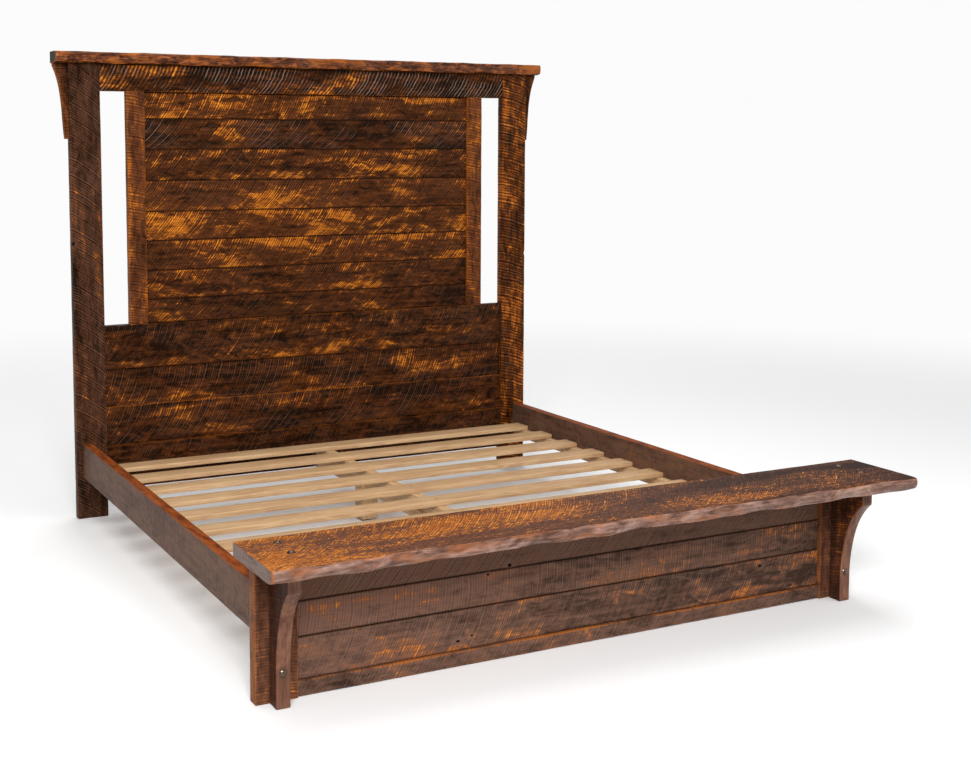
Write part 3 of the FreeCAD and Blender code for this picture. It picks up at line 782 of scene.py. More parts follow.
@dataclass
class Board:
    """One board, cut from a sheet, thickened, eased, sawn and worn."""

    name: str
    place: Place
    step: float = 0.0025
    cross_step: float = 0.009
    arris: float = 0.0021
    wear: float = 0.0016
    wear_size: float = 0.075
    piece: bpy.types.Object | None = None

    def cut(self) -> "Board":
        """Cut the sheet to length and width, lying flat at the origin.

        Returns:
            This board.
        """
        length, width, _ = self.place.sizes()
        bpy.ops.mesh.primitive_grid_add(x_subdivisions=max(2, round(length / self.step)),
                                        y_subdivisions=max(2, round(width / self.cross_step)),
                                        size=1.0, location=(0, 0, 0))
        self.take()
        with editing(self.piece):
            bpy.ops.transform.resize(value=(length, width, 1.0))
        return self

    def take(self) -> None:
        """Take the object just added as this board's piece."""
        self.piece = bpy.context.object
        self.piece.name = self.piece.data.name = self.name

    def push(self, axis: str, amounts: Amounts) -> "Board":
        """Move the surface along one of the board's own axes.

        Args:
            axis: X along the board, Y across it, Z through it.
            amounts: distances in metres from the positions along, across and through.

        Returns:
            This board.
        """
        u, v, w = read_all(self.piece.data.vertices, "co", 3).T
        moved = amounts(u, v, w) + np.zeros(len(u))
        for sign in (1, -1):
            part = np.maximum(sign * moved, 0.0)
            largest = float(part.max())
            if largest < SMALLEST_PUSH:
                continue
            group = self.piece.vertex_groups.new(name="push")
            for index in np.flatnonzero(part > 0):
                group.add([int(index)], float(part[index] / largest), "REPLACE")
            self.modify("DISPLACE", direction=axis, strength=sign * largest, mid_level=0.0,
                        vertex_group="push")
            self.piece.vertex_groups.clear()
        return self

    def modify(self, kind: str, **settings: object) -> "Board":
        """Add a modifier, set it and apply it.

        Args:
            kind: the modifier's type.
            settings: its settings by name.

        Returns:
            This board.
        """
        bpy.context.view_layer.objects.active = self.piece
        modifier = self.piece.modifiers.new(kind.title(), kind)
        for key, value in settings.items():
            setattr(modifier, key, value)
        bpy.ops.object.modifier_apply(modifier=modifier.name)
        return self

    def thicken(self) -> "Board":
        """Give the sheet its thickness."""
        return self.modify("SOLIDIFY", thickness=self.place.sizes()[2], offset=0.0)

    def slice_sides(self, rows: int) -> "Board":
        """Cut the sides into rows so that they can be shaped.

        Args:
            rows: number of rows.

        Returns:
            This board.
        """
        thick = self.place.sizes()[2]
        with editing(self.piece):
            for row in range(1, rows):
                slice_mesh((0, 0, thick * (row / rows - 0.5)), (0, 0, 1))
        return self

    def ease(self) -> "Board":
        """Take the sharpness off the edges, and keep where they are.

        Returns:
            This board.
        """
        self.modify("BEVEL", width=self.arris, segments=2, limit_method="ANGLE",
                    angle_limit=EASED_ANGLE, use_clamp_overlap=True)
        return self.mark_edges()

    def mark_edges(self) -> "Board":
        """Keep in the mesh which points lie on an edge, for the finish to wear there and to paint
        highlights and seam shadows there.

        Returns:
            This board.
        """
        mesh = self.piece.data
        normals = read_all(mesh.polygons, "normal", 3)
        sides = read_all(mesh.polygons, "loop_total").astype(int)
        corners = read_all(mesh.loops, "vertex_index").astype(int)
        total = np.zeros((len(mesh.vertices), 3))
        np.add.at(total, corners, np.repeat(normals, sides, axis=0))
        uses = np.maximum(np.bincount(corners, minlength=len(mesh.vertices)), 1)
        bend = 1.0 - np.linalg.norm(total, axis=1) / uses
        edge = mesh.attributes.new(EDGE, "FLOAT", "POINT")
        edge.data.foreach_set("value", np.clip(bend * EDGE_GAIN, 0.0, 1.0).astype(np.float32))
        return self

    def saw(self, marks: SawMarks, knots: tuple[Knot, ...] = ()) -> "Board":
        """Cut the saw marks into both faces and sink the knots into the front one.

        Args:
            marks: the saw marks.
            knots: the knots.

        Returns:
            This board.
        """
        self.push("Z", marks.heights)
        for knot in knots:
            self.push("Z", knot.pit(self.place))
        return self

    def lay_down(self) -> "Board":
        """Turn the board to its place, and keep the place in its mesh.

        Returns:
            This board.
        """
        pick(self.piece)
        self.piece.matrix_world = (Matrix.Translation(self.place.centre())
                                   @ self.place.lay.turn().to_4x4())
        bpy.ops.object.transform_apply(location=True, rotation=True, scale=True)
        return self

    def weather(self) -> "Board":
        """Wave the faces and wear the edges a little.

        Returns:
            This board.
        """
        cloud = bpy.data.textures.new(self.name + "_wear", "CLOUDS")
        cloud.noise_scale = self.wear_size
        cloud.noise_depth = 3
        self.modify("DISPLACE", texture=cloud, texture_coords="GLOBAL", direction="NORMAL",
                    strength=self.wear, mid_level=0.5)
        return self.smooth()

    def smooth(self) -> "Board":
        """Smooth the shading between the edges.

        Returns:
            This board.
        """
        pick(self.piece)
        bpy.ops.object.shade_smooth_by_angle(angle=SMOOTH_ANGLE)
        return self

    def make(self, marks: SawMarks | None = None, knots: tuple[Knot, ...] = ()) -> "Board":
        """Make a plain board from start to finish.

        Args:
            marks: the saw marks, or nothing for a planed board.
            knots: the knots.

        Returns:
            This board.
        """
        self.cut().thicken().ease()
        if marks is not None:
            self.saw(marks, knots)
        return self.lay_down().weather()

    def settle(self, finish: "RoughSawnFinish | PlanedFinish", slot: str) -> None:
        """Give the board its finish, hide its CAD node and attach it to its body.

        Args:
            finish: its finish.
            slot: what it is made of; not used.
        """
        self.piece.data.materials.clear()
        self.piece.data.materials.append(finish.material(self.place))
        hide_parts(self.name)
        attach(self.piece, BODY)
        LOG.info("made %s with %d faces", self.name, len(self.piece.data.polygons))


@dataclass
class LiveEdgeSlab(Board):
    """Slab with a waving, rounded front edge."""

    step: float = 0.0045
    cross_step: float = 0.0065
    wave: float = 0.008
    corner: float = 0.006
    undercut: float = 0.012
    crown: float = 0.0045
    lift: float = 0.005
    gouge: float = 0.0011
    fade: float = 0.07
    rim_fade: float = 0.035
    front_depth: float = 0.012
    rim_rise: float = 0.008
    rim_sink: float = 0.003
    unsawn: float = 0.02
    rows: int = 8

    def build(self, finish: LiveEdgeFinish) -> None:
        """Make the slab, and saw all of it but its front edge.

        Args:
            finish: its finish, which has its saw marks.
        """
        self.cut().push("Y", self.outline)
        self.thicken().slice_sides(self.rows)
        self.push("Y", self.profile).push("Z", self.rims).ease()
        heights = finish.saw.heights
        self.push("Z", lambda u, v, w: heights(u, v, w) * (self.inward(v) > self.unsawn))
        self.lay_down().weather().settle(finish, "live_edge_wood")

    def inward(self, v: Array) -> Array:
        """Distance from the front edge."""
        return v + self.place.sizes()[1] / 2

    def level(self, w: Array) -> Array:
        """Height as a share of half the thickness."""
        return w / (self.place.sizes()[2] / 2)

    def near(self, v: Array, start: float, fade: float) -> Array:
        """1 at the front edge and 0 behind it."""
        return np.clip(1.0 - (self.inward(v) - start) / fade, 0.0, 1.0)

    def outline(self, u: Array, v: Array, w: Array) -> Array:
        """How far the front edge stands back.

        Args:
            u: positions along the board.
            v: positions across it.
            w: positions through it.

        Returns:
            Distances in metres.
        """
        half = self.place.sizes()[0] / 2
        turn = math.pi * np.clip(u, self.corner - half, half - self.corner) / half
        ripple = waves(turn, (0.3, 3.1, 0.6), (0.2, 7.3, 1.9))
        past = np.clip(np.abs(u) - (half - self.corner), 0.0, self.corner)
        bow = self.corner - np.sqrt(self.corner ** 2 - past ** 2)
        gouge = 2.0 * self.gouge * waves(u, (0.5, 27.0, 0.7), (0.5, 43.0, 2.1), middle=1.0)
        back = self.wave * ripple * np.cos(turn / 2) + bow + gouge
        return back * self.near(v, 0.0, self.fade)

    def profile(self, u: Array, v: Array, w: Array) -> Array:
        """How far each height of the front face stands back from its outline.

        Args:
            u: positions along the board.
            v: positions across it.
            w: positions through it.

        Returns:
            Distances in metres.
        """
        level = np.clip(self.level(w), -1.0, 1.0)
        crown = self.crown * np.abs(level) ** 3
        under = self.undercut * (0.5 - 0.5 * level) ** 1.5
        drift = waves(u, (0.28, 13.7, 1.0), (0.22, 31.0, 0.0))
        lift = self.lift * np.clip(level, 0, 1) ** 2 * waves(u, (0.5, 19.0, 2.0))
        return (crown + under * drift + lift) * self.near(v, self.wave * 1.2, self.front_depth)

    def rims(self, u: Array, v: Array, w: Array) -> Array:
        """How far the front's lower rim rises and its upper rim sinks.

        Args:
            u: positions along the board.
            v: positions across it.
            w: positions through it.

        Returns:
            Distances in metres, upward.
        """
        lower = waves(u, (0.28, 17.0, 0.4), (0.22, 39.0, 1.3))
        upper = waves(u, (0.3, 22.0, 2.2), (0.2, 51.0, 0.0))
        rise = self.rim_rise * lower * np.clip(-self.level(w), 0.0, 1.0)
        sink = self.rim_sink * upper * np.clip(self.level(w), 0.0, 1.0)
        return (rise - sink) * self.near(v, self.wave, self.rim_fade) ** 1.5


@dataclass
class Corbel(Board):
    """Board cut to a curve: deep at the top and slim at the foot."""

    step: float = 0.005
    cross_step: float = 0.006
    curve: tuple[tuple[float, float], ...] = ((0.064, 0.143), (0.099, 0.111), (0.163, 0.078),
                                              (0.245, 0.0585), (0.317, 0.0515))

    def build(self, marks: SawMarks) -> None:
        """Make the corbel; its width runs outward, and its back edge stays where it is.

        Args:
            marks: its saw marks.
        """
        length, width, _ = self.place.sizes()
        drops, depths = np.array(self.curve).T
        bend = np.polynomial.Polynomial.fit(drops, depths, len(drops) - 1)

        def shape(u: Array, v: Array, w: Array) -> Array:
            """Draw the front edge back to the curve."""
            drop = np.clip(length / 2 - u, drops[0], drops[-1])
            return (bend(drop) - width) * (v + width / 2) / width

        self.cut().push("Y", shape)
        self.thicken().ease().saw(marks)
        self.lay_down().weather()


@dataclass
class SaddleLeg(Board):
    """Post whose middle is cut down to hold the beam."""

    arris: float = 0.002

    def build(self) -> None:
        """Make the leg."""
        low, high = self.place.low, self.place.high
        beam_low, beam_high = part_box("centre_beam")
        bpy.ops.mesh.primitive_cube_add(size=1.0, location=self.place.centre(), scale=high - low)
        self.take()
        bpy.ops.object.transform_apply(location=True, rotation=True, scale=True)
        with editing(self.piece):
            for x in (beam_low.x, beam_high.x):
                slice_mesh((x, 0, 0), (1, 0, 0))
            bpy.ops.mesh.select_all(action="DESELECT")
            bpy.ops.mesh.select_mode(type="FACE")
        for face in self.piece.data.polygons:
            inside = beam_low.x < face.center.x < beam_high.x
            face.select = inside and face.normal.z > 0.9
        with editing(self.piece, whole=False):
            bpy.ops.mesh.extrude_region_move(
                TRANSFORM_OT_translate={"value": (0, 0, beam_low.z - high.z)})
            bpy.ops.mesh.select_all(action="SELECT")
            bpy.ops.mesh.remove_doubles(threshold=1e-5)
            bpy.ops.mesh.normals_make_consistent(inside=False)
        self.ease().smooth()


def waves(at: Array, *parts: Triple, middle: float = 0.5) -> Array:
    """A middle value and sines on it, each given by its height, rate and phase."""
    return middle + sum(height * np.sin(rate * at + phase) for height, rate, phase in parts)


def random_marks(chance: random.Random, **fixed: float) -> SawMarks:
    """Saw marks for one board, as a sawmill happens to leave them.

    Args:
        chance: source of random numbers.
        fixed: fields that aren't left to chance.

    Returns:
        The saw marks.
    """
    marks = SawMarks(pitch=chance.uniform(0.0088, 0.0118), radius=chance.uniform(0.3, 0.42),
                     lean=chance.uniform(0.1, 0.24), phase=chance.uniform(0.0, math.tau))
    return replace(marks, **fixed)


@dataclass(frozen=True)
class PostLook:
    """What the finish of one headboard post has of its own."""

    knots: tuple[Knot, ...]
    amber_share: float
    amber: Colour
    brown: Colour


@dataclass(frozen=True)
class PlankLook:
    """What the finish of one panel board has of its own."""

    amber_share: float
    tone: float
    light_ridges: float = 0.3
    kerf_stain: float = 1.1
    knots: tuple[Knot, ...] = ()


@dataclass
class BedEnd:
    """What the two ends of the bed share."""

    chance: random.Random
    wood: RoughSawnFinish
    tuck: float = 0.002
    overlap: float = 0.0012

    def finish_for(self, name: str, **changes: object) -> RoughSawnFinish:
        """This end's wood with a board's own seed and marks."""
        return replace(self.wood, name=name + "_wood", seed=self.chance.uniform(0, 90), **changes)

    def board(self, name: str, place: Place, slot: str, marks: SawMarks,
              cutting: dict[str, float] | None = None, **look: object) -> None:
        """Make one rough-sawn board.

        Args:
            name: name of its CAD node.
            place: where it is.
            slot: what it is made of.
            marks: its saw marks.
            cutting: fields for Board.
            look: fields for its finish.
        """
        board = Board(name, place, **(cutting or {}))
        board.make(marks, look.get("knots", ()))
        board.settle(self.finish_for(name, saw=marks, **look), slot)

    def between_posts(self, name: str) -> tuple[float, float]:
        """Least and greatest X of the boards that are let into two posts."""
        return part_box(name + "left")[1].x - self.tuck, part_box(name + "right")[0].x + self.tuck

    def stack(self, names: list[str], bottom: float, top: float,
              across: tuple[float | None, float | None] = (None, None)) -> list[Place]:
        """Places of boards one above another, each let into the one below.

        Args:
            names: names of the CAD nodes, from the lowest.
            bottom: bottom of the lowest board.
            top: top of the highest.
            across: least and greatest X.

        Returns:
            A place for each board.
        """
        seams = [bottom, *(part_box(name)[0].z for name in names[1:]), top]
        return [place_of(name, Lay.ACROSS, x=across, z=(low - self.overlap, high))
                for name, low, high in zip(names, seams, seams[1:])]


@dataclass
class Headboard(BedEnd):
    """Posts, rails, stiles, boards, cap and brackets at the head of the bed."""

    wood: RoughSawnFinish = RoughSawnFinish("rough_sawn_headboard")
    post_looks: tuple[PostLook, ...] = (
        PostLook((Knot(0.22, 0.93, 0.006, 0.008),), 0.25, (0.36, 0.10, 0.010),
                 (0.10, 0.040, 0.021)),
        PostLook((Knot(0.103, -0.97, 0.008, 0.006),), 0.68, (0.29, 0.075, 0.008),
                 (0.125, 0.034, 0.006)))
    post_leans: tuple[float, float] = (0.28, 0.14)
    post_pitches: tuple[float, float] = (0.011, 0.0138)
    plank_looks: tuple[PlankLook, ...] = (
        PlankLook(0.4, 0.6, 0.2), PlankLook(0.45, 0.6, 0.2), PlankLook(0.55, 0.75, 0.15),
        PlankLook(0.57, 0.75, 0.1), PlankLook(0.52, 0.75, 0.3),
        PlankLook(0.6, 0.65, 0.2, knots=(Knot(-0.709, 0.16, 0.004, 0.003),
                                         Knot(-0.305, 0.12, 0.004, 0.003))),
        PlankLook(0.27, 0.5, 0.9), PlankLook(0.66, 0.75, 0.15))
    bracket_curve: tuple[tuple[float, float], ...] = ((0.010, 0.0585), (0.073, 0.038),
                                                      (0.150, 0.026), (0.3015, 0.015))

    def build(self) -> None:
        """Make every piece of the headboard."""
        self.posts()
        self.rails()
        self.stiles()
        self.planks()
        self.lower_planks()
        self.cap()
        self.brackets()

    def posts(self) -> None:
        """Two flat posts, floor to cap."""
        each = zip(SIDES, self.post_looks, self.post_leans, self.post_pitches)
        for side, look, lean, pitch in each:
            name = "headboard_post_" + side
            marks = random_marks(self.chance, radius=0.5, lean=lean, pitch=pitch)
            self.board(name, place_of(name, Lay.UPRIGHT), "rough_sawn_frame", marks,
                       {"arris": 0.0022}, bright=(0.45, 0.16, 0.03), kerf_stain=1.1, tone=0.7,
                       light_ridges=0.4, worn_edge=0.2, **vars(look))

    def rails(self) -> None:
        """Top, middle and bottom rails between the posts."""
        across = self.between_posts("headboard_post_")
        rows = SawMarks(0.017, 0.26, 0.13, 0.0012, wobble=0.7, swell=0.12)
        middle, bottom = random_marks(self.chance), random_marks(self.chance)
        looks = {"top": (rows, {"amber_share": 0.24, "tone": 0.42, "light_ridges": 2.4,
                                "amber_slope": -0.08, "sharpness": 13.0}),
                 "middle": (middle, {"amber_share": 0.4, "light_ridges": 0.4}),
                 "bottom": (bottom, {"amber_share": 0.2, "light_ridges": 0.3})}
        for label, (marks, look) in looks.items():
            name = "headboard_" + label + "_rail"
            self.board(name, place_of(name, Lay.ACROSS, x=across), "rough_sawn_frame", marks,
                       seam=0.5, **look)

    def stiles(self) -> None:
        """Stiles beside the tall panel."""
        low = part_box("headboard_middle_rail")[1].z - self.tuck
        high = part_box("headboard_top_rail")[0].z + self.tuck
        for side in SIDES:
            name = "headboard_stile_" + side
            marks = random_marks(self.chance, radius=0.5, lean=0.1, pitch=0.0115)
            self.board(name, place_of(name, Lay.UPRIGHT, z=(low, high)), "rough_sawn_frame",
                       marks, amber_share=0.46, tone=0.82, softness=0.4, light_ridges=0.15,
                       brown=(0.14, 0.043, 0.015), bright=(0.45, 0.15, 0.02))

    def planks(self) -> None:
        """Eight boards of the tall panel."""
        first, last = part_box("headboard_plank_1")
        names = ["headboard_plank_%d" % i for i in range(1, 9)]
        places = self.stack(names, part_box("headboard_middle_rail")[1].z,
                            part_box("headboard_top_rail")[0].z, (first.x, last.x))
        for name, place, look in zip(names, places, self.plank_looks):
            marks = random_marks(self.chance, pitch=self.chance.uniform(0.0095, 0.0125),
                                 lean=self.chance.uniform(0.17, 0.25), depth=0.0008)
            self.board(name, place, "rough_sawn_planks", marks, {"arris": 0.002}, seam=0.9,
                       softness=0.22, **vars(look))

    def lower_planks(self) -> None:
        """Two boards behind the mattress."""
        names = ["headboard_lower_plank_1", "headboard_lower_plank_2"]
        places = self.stack(names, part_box("headboard_bottom_rail")[1].z,
                            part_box("headboard_middle_rail")[0].z)
        for name, place in zip(names, places):
            self.board(name, place, "rough_sawn_planks", random_marks(self.chance),
                       {"step": 0.004, "cross_step": 0.012}, amber_share=0.3)

    def cap(self) -> None:
        """Live-edge cap slab."""
        slab = LiveEdgeSlab("headboard_cap", place_of("headboard_cap", Lay.FLAT), wave=0.007,
                            corner=0.009, undercut=0.007)
        slab.build(LiveEdgeFinish(
            "headboard_cap_wood", seed=33.0, amber_share=0.5, tone=0.6, blush=0.5,
            saw=SawMarks(0.011, 0.6, 0.3, 0.0005), bark=(0.085, 0.024, 0.009),
            bark_light=(0.30, 0.092, 0.028), bark_dark=(0.010, 0.005, 0.003),
            mottle=Cloud((22.0, 60.0, 60.0), 31.0, 4.0, 0.8), end_grain=(0.05, 0.048, 0.042)))

    def brackets(self) -> None:
        """Curved brackets outside the posts."""
        for side, lay in zip(SIDES, (Lay.UPRIGHT, Lay.RIGHT_BRACKET)):
            name = "headboard_bracket_" + side
            marks = random_marks(self.chance, radius=0.6, lean=0.0, pitch=0.009)
            bracket = Corbel(name, place_of(name, lay), curve=self.bracket_curve)
            bracket.build(marks)
            bracket.settle(self.finish_for(name, saw=marks, amber_share=0.1, tone=0.6),
                           "corbel_wood")


@dataclass
class Footboard(BedEnd):
    """Posts, boards, corbels and bench at the foot of the bed."""

    wood: RoughSawnFinish = RoughSawnFinish(
        "rough_sawn_footboard", dark=(0.036, 0.020, 0.014), brown=(0.155, 0.082, 0.057),
        rust=(0.18, 0.066, 0.029), amber=(0.32, 0.1, 0.022), bright=(0.52, 0.2, 0.05),
        grey=(0.24, 0.185, 0.16), amber_share=0.3, tone=0.75, light_ridges=0.3,
        streak_stain=0.9, kerf_stain=0.45)
    plank_looks: tuple[PlankLook, ...] = (
        PlankLook(0.33, 0.62, 0.3, 0.4, (Knot(-0.459, -0.535, 0.0045, 0.002),
                                         Knot(-0.41, -0.365, 0.003, 0.002),
                                         Knot(0.738, 0.584, 0.0055, 0.006))),
        PlankLook(0.3, 0.85, 0.3, 0.45, (Knot(-0.353, 0.8, 0.0035, 0.0015),)),
        PlankLook(0.0, 1.2, 0.3, 0.9, (Knot(-0.2735, -0.88, 0.0045, 0.007),)))
    plank_leans: Triple = (0.16, 0.03, 0.2)

    def build(self) -> None:
        """Make every piece of the footboard."""
        self.posts()
        self.rail()
        self.planks()
        self.battens()
        self.corbels()
        self.bench()

    def posts(self) -> None:
        """Two short flat posts."""
        for side in SIDES:
            name = "footboard_post_" + side
            marks = random_marks(self.chance, radius=0.5, lean=0.05, pitch=0.0088)
            self.board(name, place_of(name, Lay.UPRIGHT), "rough_sawn_frame", marks,
                       amber_share=0.22, brown=(0.13, 0.052, 0.028), light_ridges=0.1,
                       dark=(0.025, 0.01, 0.006))

    def rail(self) -> None:
        """Bottom rail between the posts."""
        name = "footboard_bottom_rail"
        place = place_of(name, Lay.ACROSS, x=self.between_posts("footboard_post_"))
        marks = random_marks(self.chance, lean=0.16, radius=0.3)
        self.board(name, place, "rough_sawn_frame", marks, {"wear": 0.0022}, amber_share=0.3,
                   worn_edge=0.9)

    def planks(self) -> None:
        """Three boards between the posts."""
        names = ["footboard_plank_" + label for label in ("bottom", "middle", "top")]
        places = self.stack(names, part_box("footboard_bottom_rail")[1].z,
                            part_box("bench_top")[0].z, self.between_posts("footboard_post_"))
        for name, place, look, lean in zip(names, places, self.plank_looks, self.plank_leans):
            marks = random_marks(self.chance, lean=lean, radius=0.38, depth=0.0005)
            self.board(name, place, "rough_sawn_planks", marks, {"arris": 0.0022}, seam=0.9,
                       amber_slope=-0.05, tone_slope=-0.2, **vars(look))

    def battens(self) -> None:
        """Upright battens behind the boards."""
        for label in ("left", "centre", "right"):
            name = "footboard_batten_" + label
            finish = PlanedFinish(name + "_wood", seed=self.chance.uniform(0, 90),
                                  pale=(0.36, 0.21, 0.11), deep=(0.2, 0.1, 0.045))
            batten = Board(name, place_of(name, Lay.UPRIGHT), step=0.03, cross_step=0.035)
            batten.make().settle(finish, "plain_pine")

    def corbels(self) -> None:
        """Two corbels from the floor to the bench."""
        for side in SIDES:
            name = "footboard_corbel_" + side
            marks = random_marks(self.chance, radius=0.6, lean=0.1, pitch=0.0095, depth=0.0005)
            corbel = Corbel(name, place_of(name, Lay.CORBEL))
            corbel.build(marks)
            corbel.settle(LiveEdgeFinish(
                name + "_wood", seed=self.chance.uniform(0, 90), saw=marks, amber_share=0.4,
                tone=0.6, light_ridges=0.12, dark=(0.028, 0.011, 0.007),
                brown=(0.085, 0.032, 0.018), amber=(0.22, 0.06, 0.012),
                bright=(0.35, 0.11, 0.02), relief=0.0005, kerf_stain=0.35, end_share=0.0,
                bark=(0.125, 0.055, 0.034), bark_light=(0.18, 0.092, 0.062),
                bark_dark=(0.075, 0.034, 0.022), blush=0.1, rim=0.7), "corbel_wood")

    def bench(self) -> None:
        """Live-edge bench top."""
        LiveEdgeSlab("bench_top", place_of("bench_top", Lay.FLAT)).build(LiveEdgeFinish(
            "bench_top_wood", seed=12.0, amber_share=0.5, tone=0.72, amber_slope=-0.14,
            tone_slope=-0.2, dark=(0.022, 0.009, 0.006), brown=(0.14, 0.05, 0.024),
            bright=(0.75, 0.3, 0.05), specular=0.13, softness=0.16, blush=0.28,
            saw=SawMarks(0.0095, 0.9, 0.6, 0.0005), light_ridges=0.1, kerf_stain=0.3,
            stroke_weight=0.15, fleck_weight=1.3, patches=Cloud((2.0, 6.0, 6.0), 11.0, 2.0, 0.7),
            flecks=Cloud((60.0, 110.0, 110.0), 17.0, 4.0, 1.2)))


@dataclass
class Base:
    """Side rails, cleats, slats and the middle support."""

    chance: random.Random
    flush: float = 0.0004
    rail_wood: RailFinish = RailFinish(
        "side_rail_wood", dark=(0.05, 0.026, 0.018), brown=(0.135, 0.07, 0.044),
        rust=(0.16, 0.06, 0.03), amber=(0.22, 0.08, 0.03), bright=(0.36, 0.15, 0.05),
        kerf_stain=0.1, streak_stain=0.9, amber_share=0.1, tone=0.8, light_ridges=0.0,
        relief=0.0004, saw=SawMarks(0.02, 0.6, 0.1, 0.0))

    def build(self) -> None:
        """Make every piece between the two ends."""
        for side, lay in zip(SIDES, (Lay.LEFT_SIDE, Lay.RIGHT_SIDE)):
            self.rail("side_rail_" + side, lay)
            self.plain("slat_cleat_" + side, lay)
        for name in sorted(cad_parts):
            if name.startswith("slat_") and not name.startswith("slat_cleat"):
                self.plain(name, Lay.FLAT)
        self.plain("centre_beam", Lay.RIGHT_SIDE)
        for label in ("foot", "middle", "head"):
            name = "centre_leg_" + label
            leg = SaddleLeg(name, place_of(name, Lay.UPRIGHT))
            leg.build()
            leg.settle(self.pine(name), "plain_pine")

    def rail(self, name: str, lay: Lay) -> None:
        """A stained side rail.

        Args:
            name: name of its CAD node.
            lay: how it lies.
        """
        board = Board(name, place_of(name, lay), step=0.012, cross_step=0.012, arris=0.0028,
                      wear=0.0012, wear_size=0.2)
        finish = replace(self.rail_wood, name=name + "_wood", seed=self.chance.uniform(0, 90))
        board.make().settle(finish, "side_rail_wood")

    def pine(self, name: str) -> PlanedFinish:
        """Bare planed pine."""
        return PlanedFinish(name + "_wood", seed=self.chance.uniform(0, 90))

    def plain(self, name: str, lay: Lay) -> None:
        """A planed board, a hair lower than its screws' heads.

        Args:
            name: name of its CAD node.
            lay: how it lies.
        """
        place = place_of(name, lay, z=(None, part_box(name)[1].z - self.flush))
        board = Board(name, place, step=0.03, cross_step=0.02, wear=0.0008, wear_size=0.3)
        board.make().settle(self.pine(name), "plain_pine")


@dataclass
class Hardware:
    """Bolts, nuts, plates, hangers, screws, dowels and glides, which keep their CAD shapes."""

    bronze: MetalFinish = MetalFinish("dark_bronze", (0.17, 0.11, 0.08), (0.05, 0.032, 0.024),
                                      0.9, 0.22)
    zinc: MetalFinish = MetalFinish("zinc_plate", (0.62, 0.62, 0.6), (0.42, 0.42, 0.4), 1.0, 0.35)
    rubber: MetalFinish = MetalFinish("black_plastic", (0.03, 0.03, 0.03), (0.015, 0.015, 0.015),
                                      0.0, 0.5)

    def dress(self) -> None:
        """Give each kept CAD node its finish."""
        looks = {self.bronze: ("bench_bolts", "corbel_bolts", "corbel_nuts"),
                 self.zinc: ("rail_hook_plates", "rail_socket_plates", "beam_hangers",
                             "wood_screws"),
                 self.rubber: ("leg_glides",)}
        for finish, names in looks.items():
            material = finish.material()
            for name in names:
                self.paint(name, material)
        dowel_wood = PlanedFinish("dowel_wood").material(place_of("dowels", Lay.UPRIGHT))
        self.paint("dowels", dowel_wood)

    def paint(self, name: str, material: bpy.types.Material) -> None:
        """Put a material on every slot of a CAD node.

        Args:
            name: name of the CAD node.
            material: the material.
        """
        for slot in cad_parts[name].material_slots:
            slot.material = material
        LOG.info("dressed %s", name)


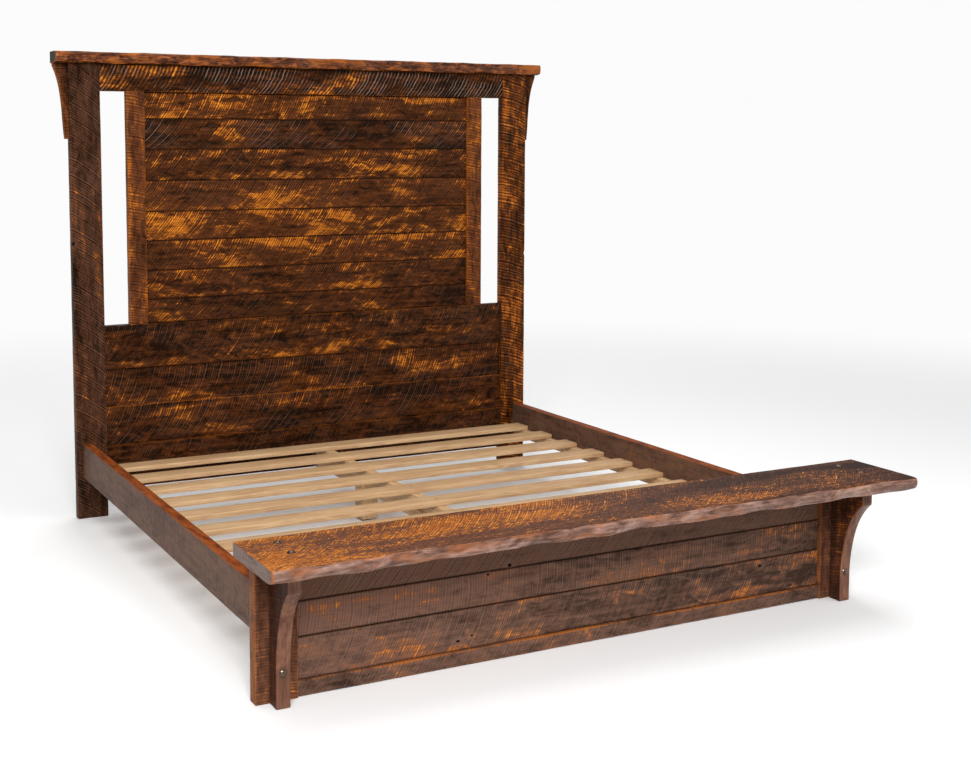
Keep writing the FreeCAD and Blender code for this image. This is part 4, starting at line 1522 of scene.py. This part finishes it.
@dataclass
class Studio:
    """Pale floor, soft light and the camera."""

    floor_size: float = 60.0
    floor_drop: float = 0.0012
    floor_shade: float = 0.84
    floor_ends: tuple[float, float] = (2.2, 7.5)
    world_light: float = 0.32
    backdrop: float = 0.97
    aim: Triple = (0.0, 0.0, 0.7)
    camera_at: Triple = (-2.3197, -4.4298, 1.5229)
    yaw: float = -0.464
    pitch: float = -0.091
    lens: float = 51.3
    shift: tuple[float, float] = (0.0736, -0.1104)

    def build(self) -> None:
        """Set the stage."""
        self.floor()
        self.light("key", (-2.9, -5.6, 4.2), 2.6, 560.0)
        self.light("fill", (4.8, -5.0, 3.0), 4.5, 110.0)
        self.light("top", (0.0, 0.4, 5.6), 5.0, 170.0)
        self.light("back", (1.5, 6.0, 4.2), 4.0, 120.0)
        self.world()
        bpy.context.scene.view_settings.view_transform = "Standard"
        self.camera()

    def world(self) -> None:
        """Soft light from all round, with a plain pale background behind the bed."""
        world = bpy.data.worlds.new("studio")
        bpy.context.scene.world = world
        world.use_nodes = True
        graph = Graph(world.node_tree)
        background = graph.tree.nodes["Background"]
        rays = graph.value("ShaderNodeLightPath", {}, {}, "Is Camera Ray")
        level = graph.value("ShaderNodeMapRange", {},
                            {"Value": rays, "To Min": self.world_light, "To Max": self.backdrop})
        graph.feed(background.inputs["Color"], WHITE)
        graph.feed(background.inputs["Strength"], level)

    def floor(self) -> None:
        """Large pale floor that isn't part of the bed and fades into the background."""
        bpy.ops.mesh.primitive_plane_add(size=self.floor_size, location=(0, 0, -self.floor_drop))
        floor = bpy.context.object
        floor.name = "floor"
        graph = Surface("pale_floor")
        away = graph.value("ShaderNodeVectorMath", {"operation": "LENGTH"},
                           {0: graph.bed_position()}, "Value")
        far = away.rise(*self.floor_ends)
        shade = graph.ramp(far, [(0.0, (self.floor_shade,) * 3), (1.0, BLACK)])
        glow = graph.ramp(far, [(0.0, BLACK), (1.0, (self.backdrop,) * 3)])
        graph.set(Base_Color=shade, Roughness=0.8, Specular_IOR_Level=0.0,
                  Emission_Color=glow, Emission_Strength=1.0)
        floor.data.materials.append(graph.material)

    def light(self, name: str, at: Triple, size: float, power: float) -> None:
        """Soft square light that looks at the bed.

        Args:
            name: the light's name.
            at: where it hangs.
            size: its width in metres.
            power: its power in watts.
        """
        bpy.ops.object.light_add(type="AREA", location=at)
        lamp = bpy.context.object
        lamp.name = name
        lamp.data.size = size
        lamp.data.energy = power
        aim = Vector(self.aim) - Vector(at)
        lamp.rotation_euler = aim.to_track_quat("-Z", "Y").to_euler()

    def camera(self) -> None:
        """Camera low at the foot of the bed, on its left."""
        bpy.ops.object.camera_add(location=self.camera_at,
                                  rotation=(math.pi / 2 + self.pitch, 0.0, self.yaw))
        camera = bpy.context.object
        camera.data.lens = self.lens
        camera.data.shift_x, camera.data.shift_y = self.shift
        bpy.context.scene.camera = camera


def main() -> None:
    """Build the bed frame and its stage."""
    logging.basicConfig(level=logging.INFO, format="%(message)s")
    chance = random.Random(7)
    Headboard(chance).build()
    Footboard(chance).build()
    Base(chance).build()
    Hardware().dress()
    Studio().build()


if __name__ == "__main__":
    main()
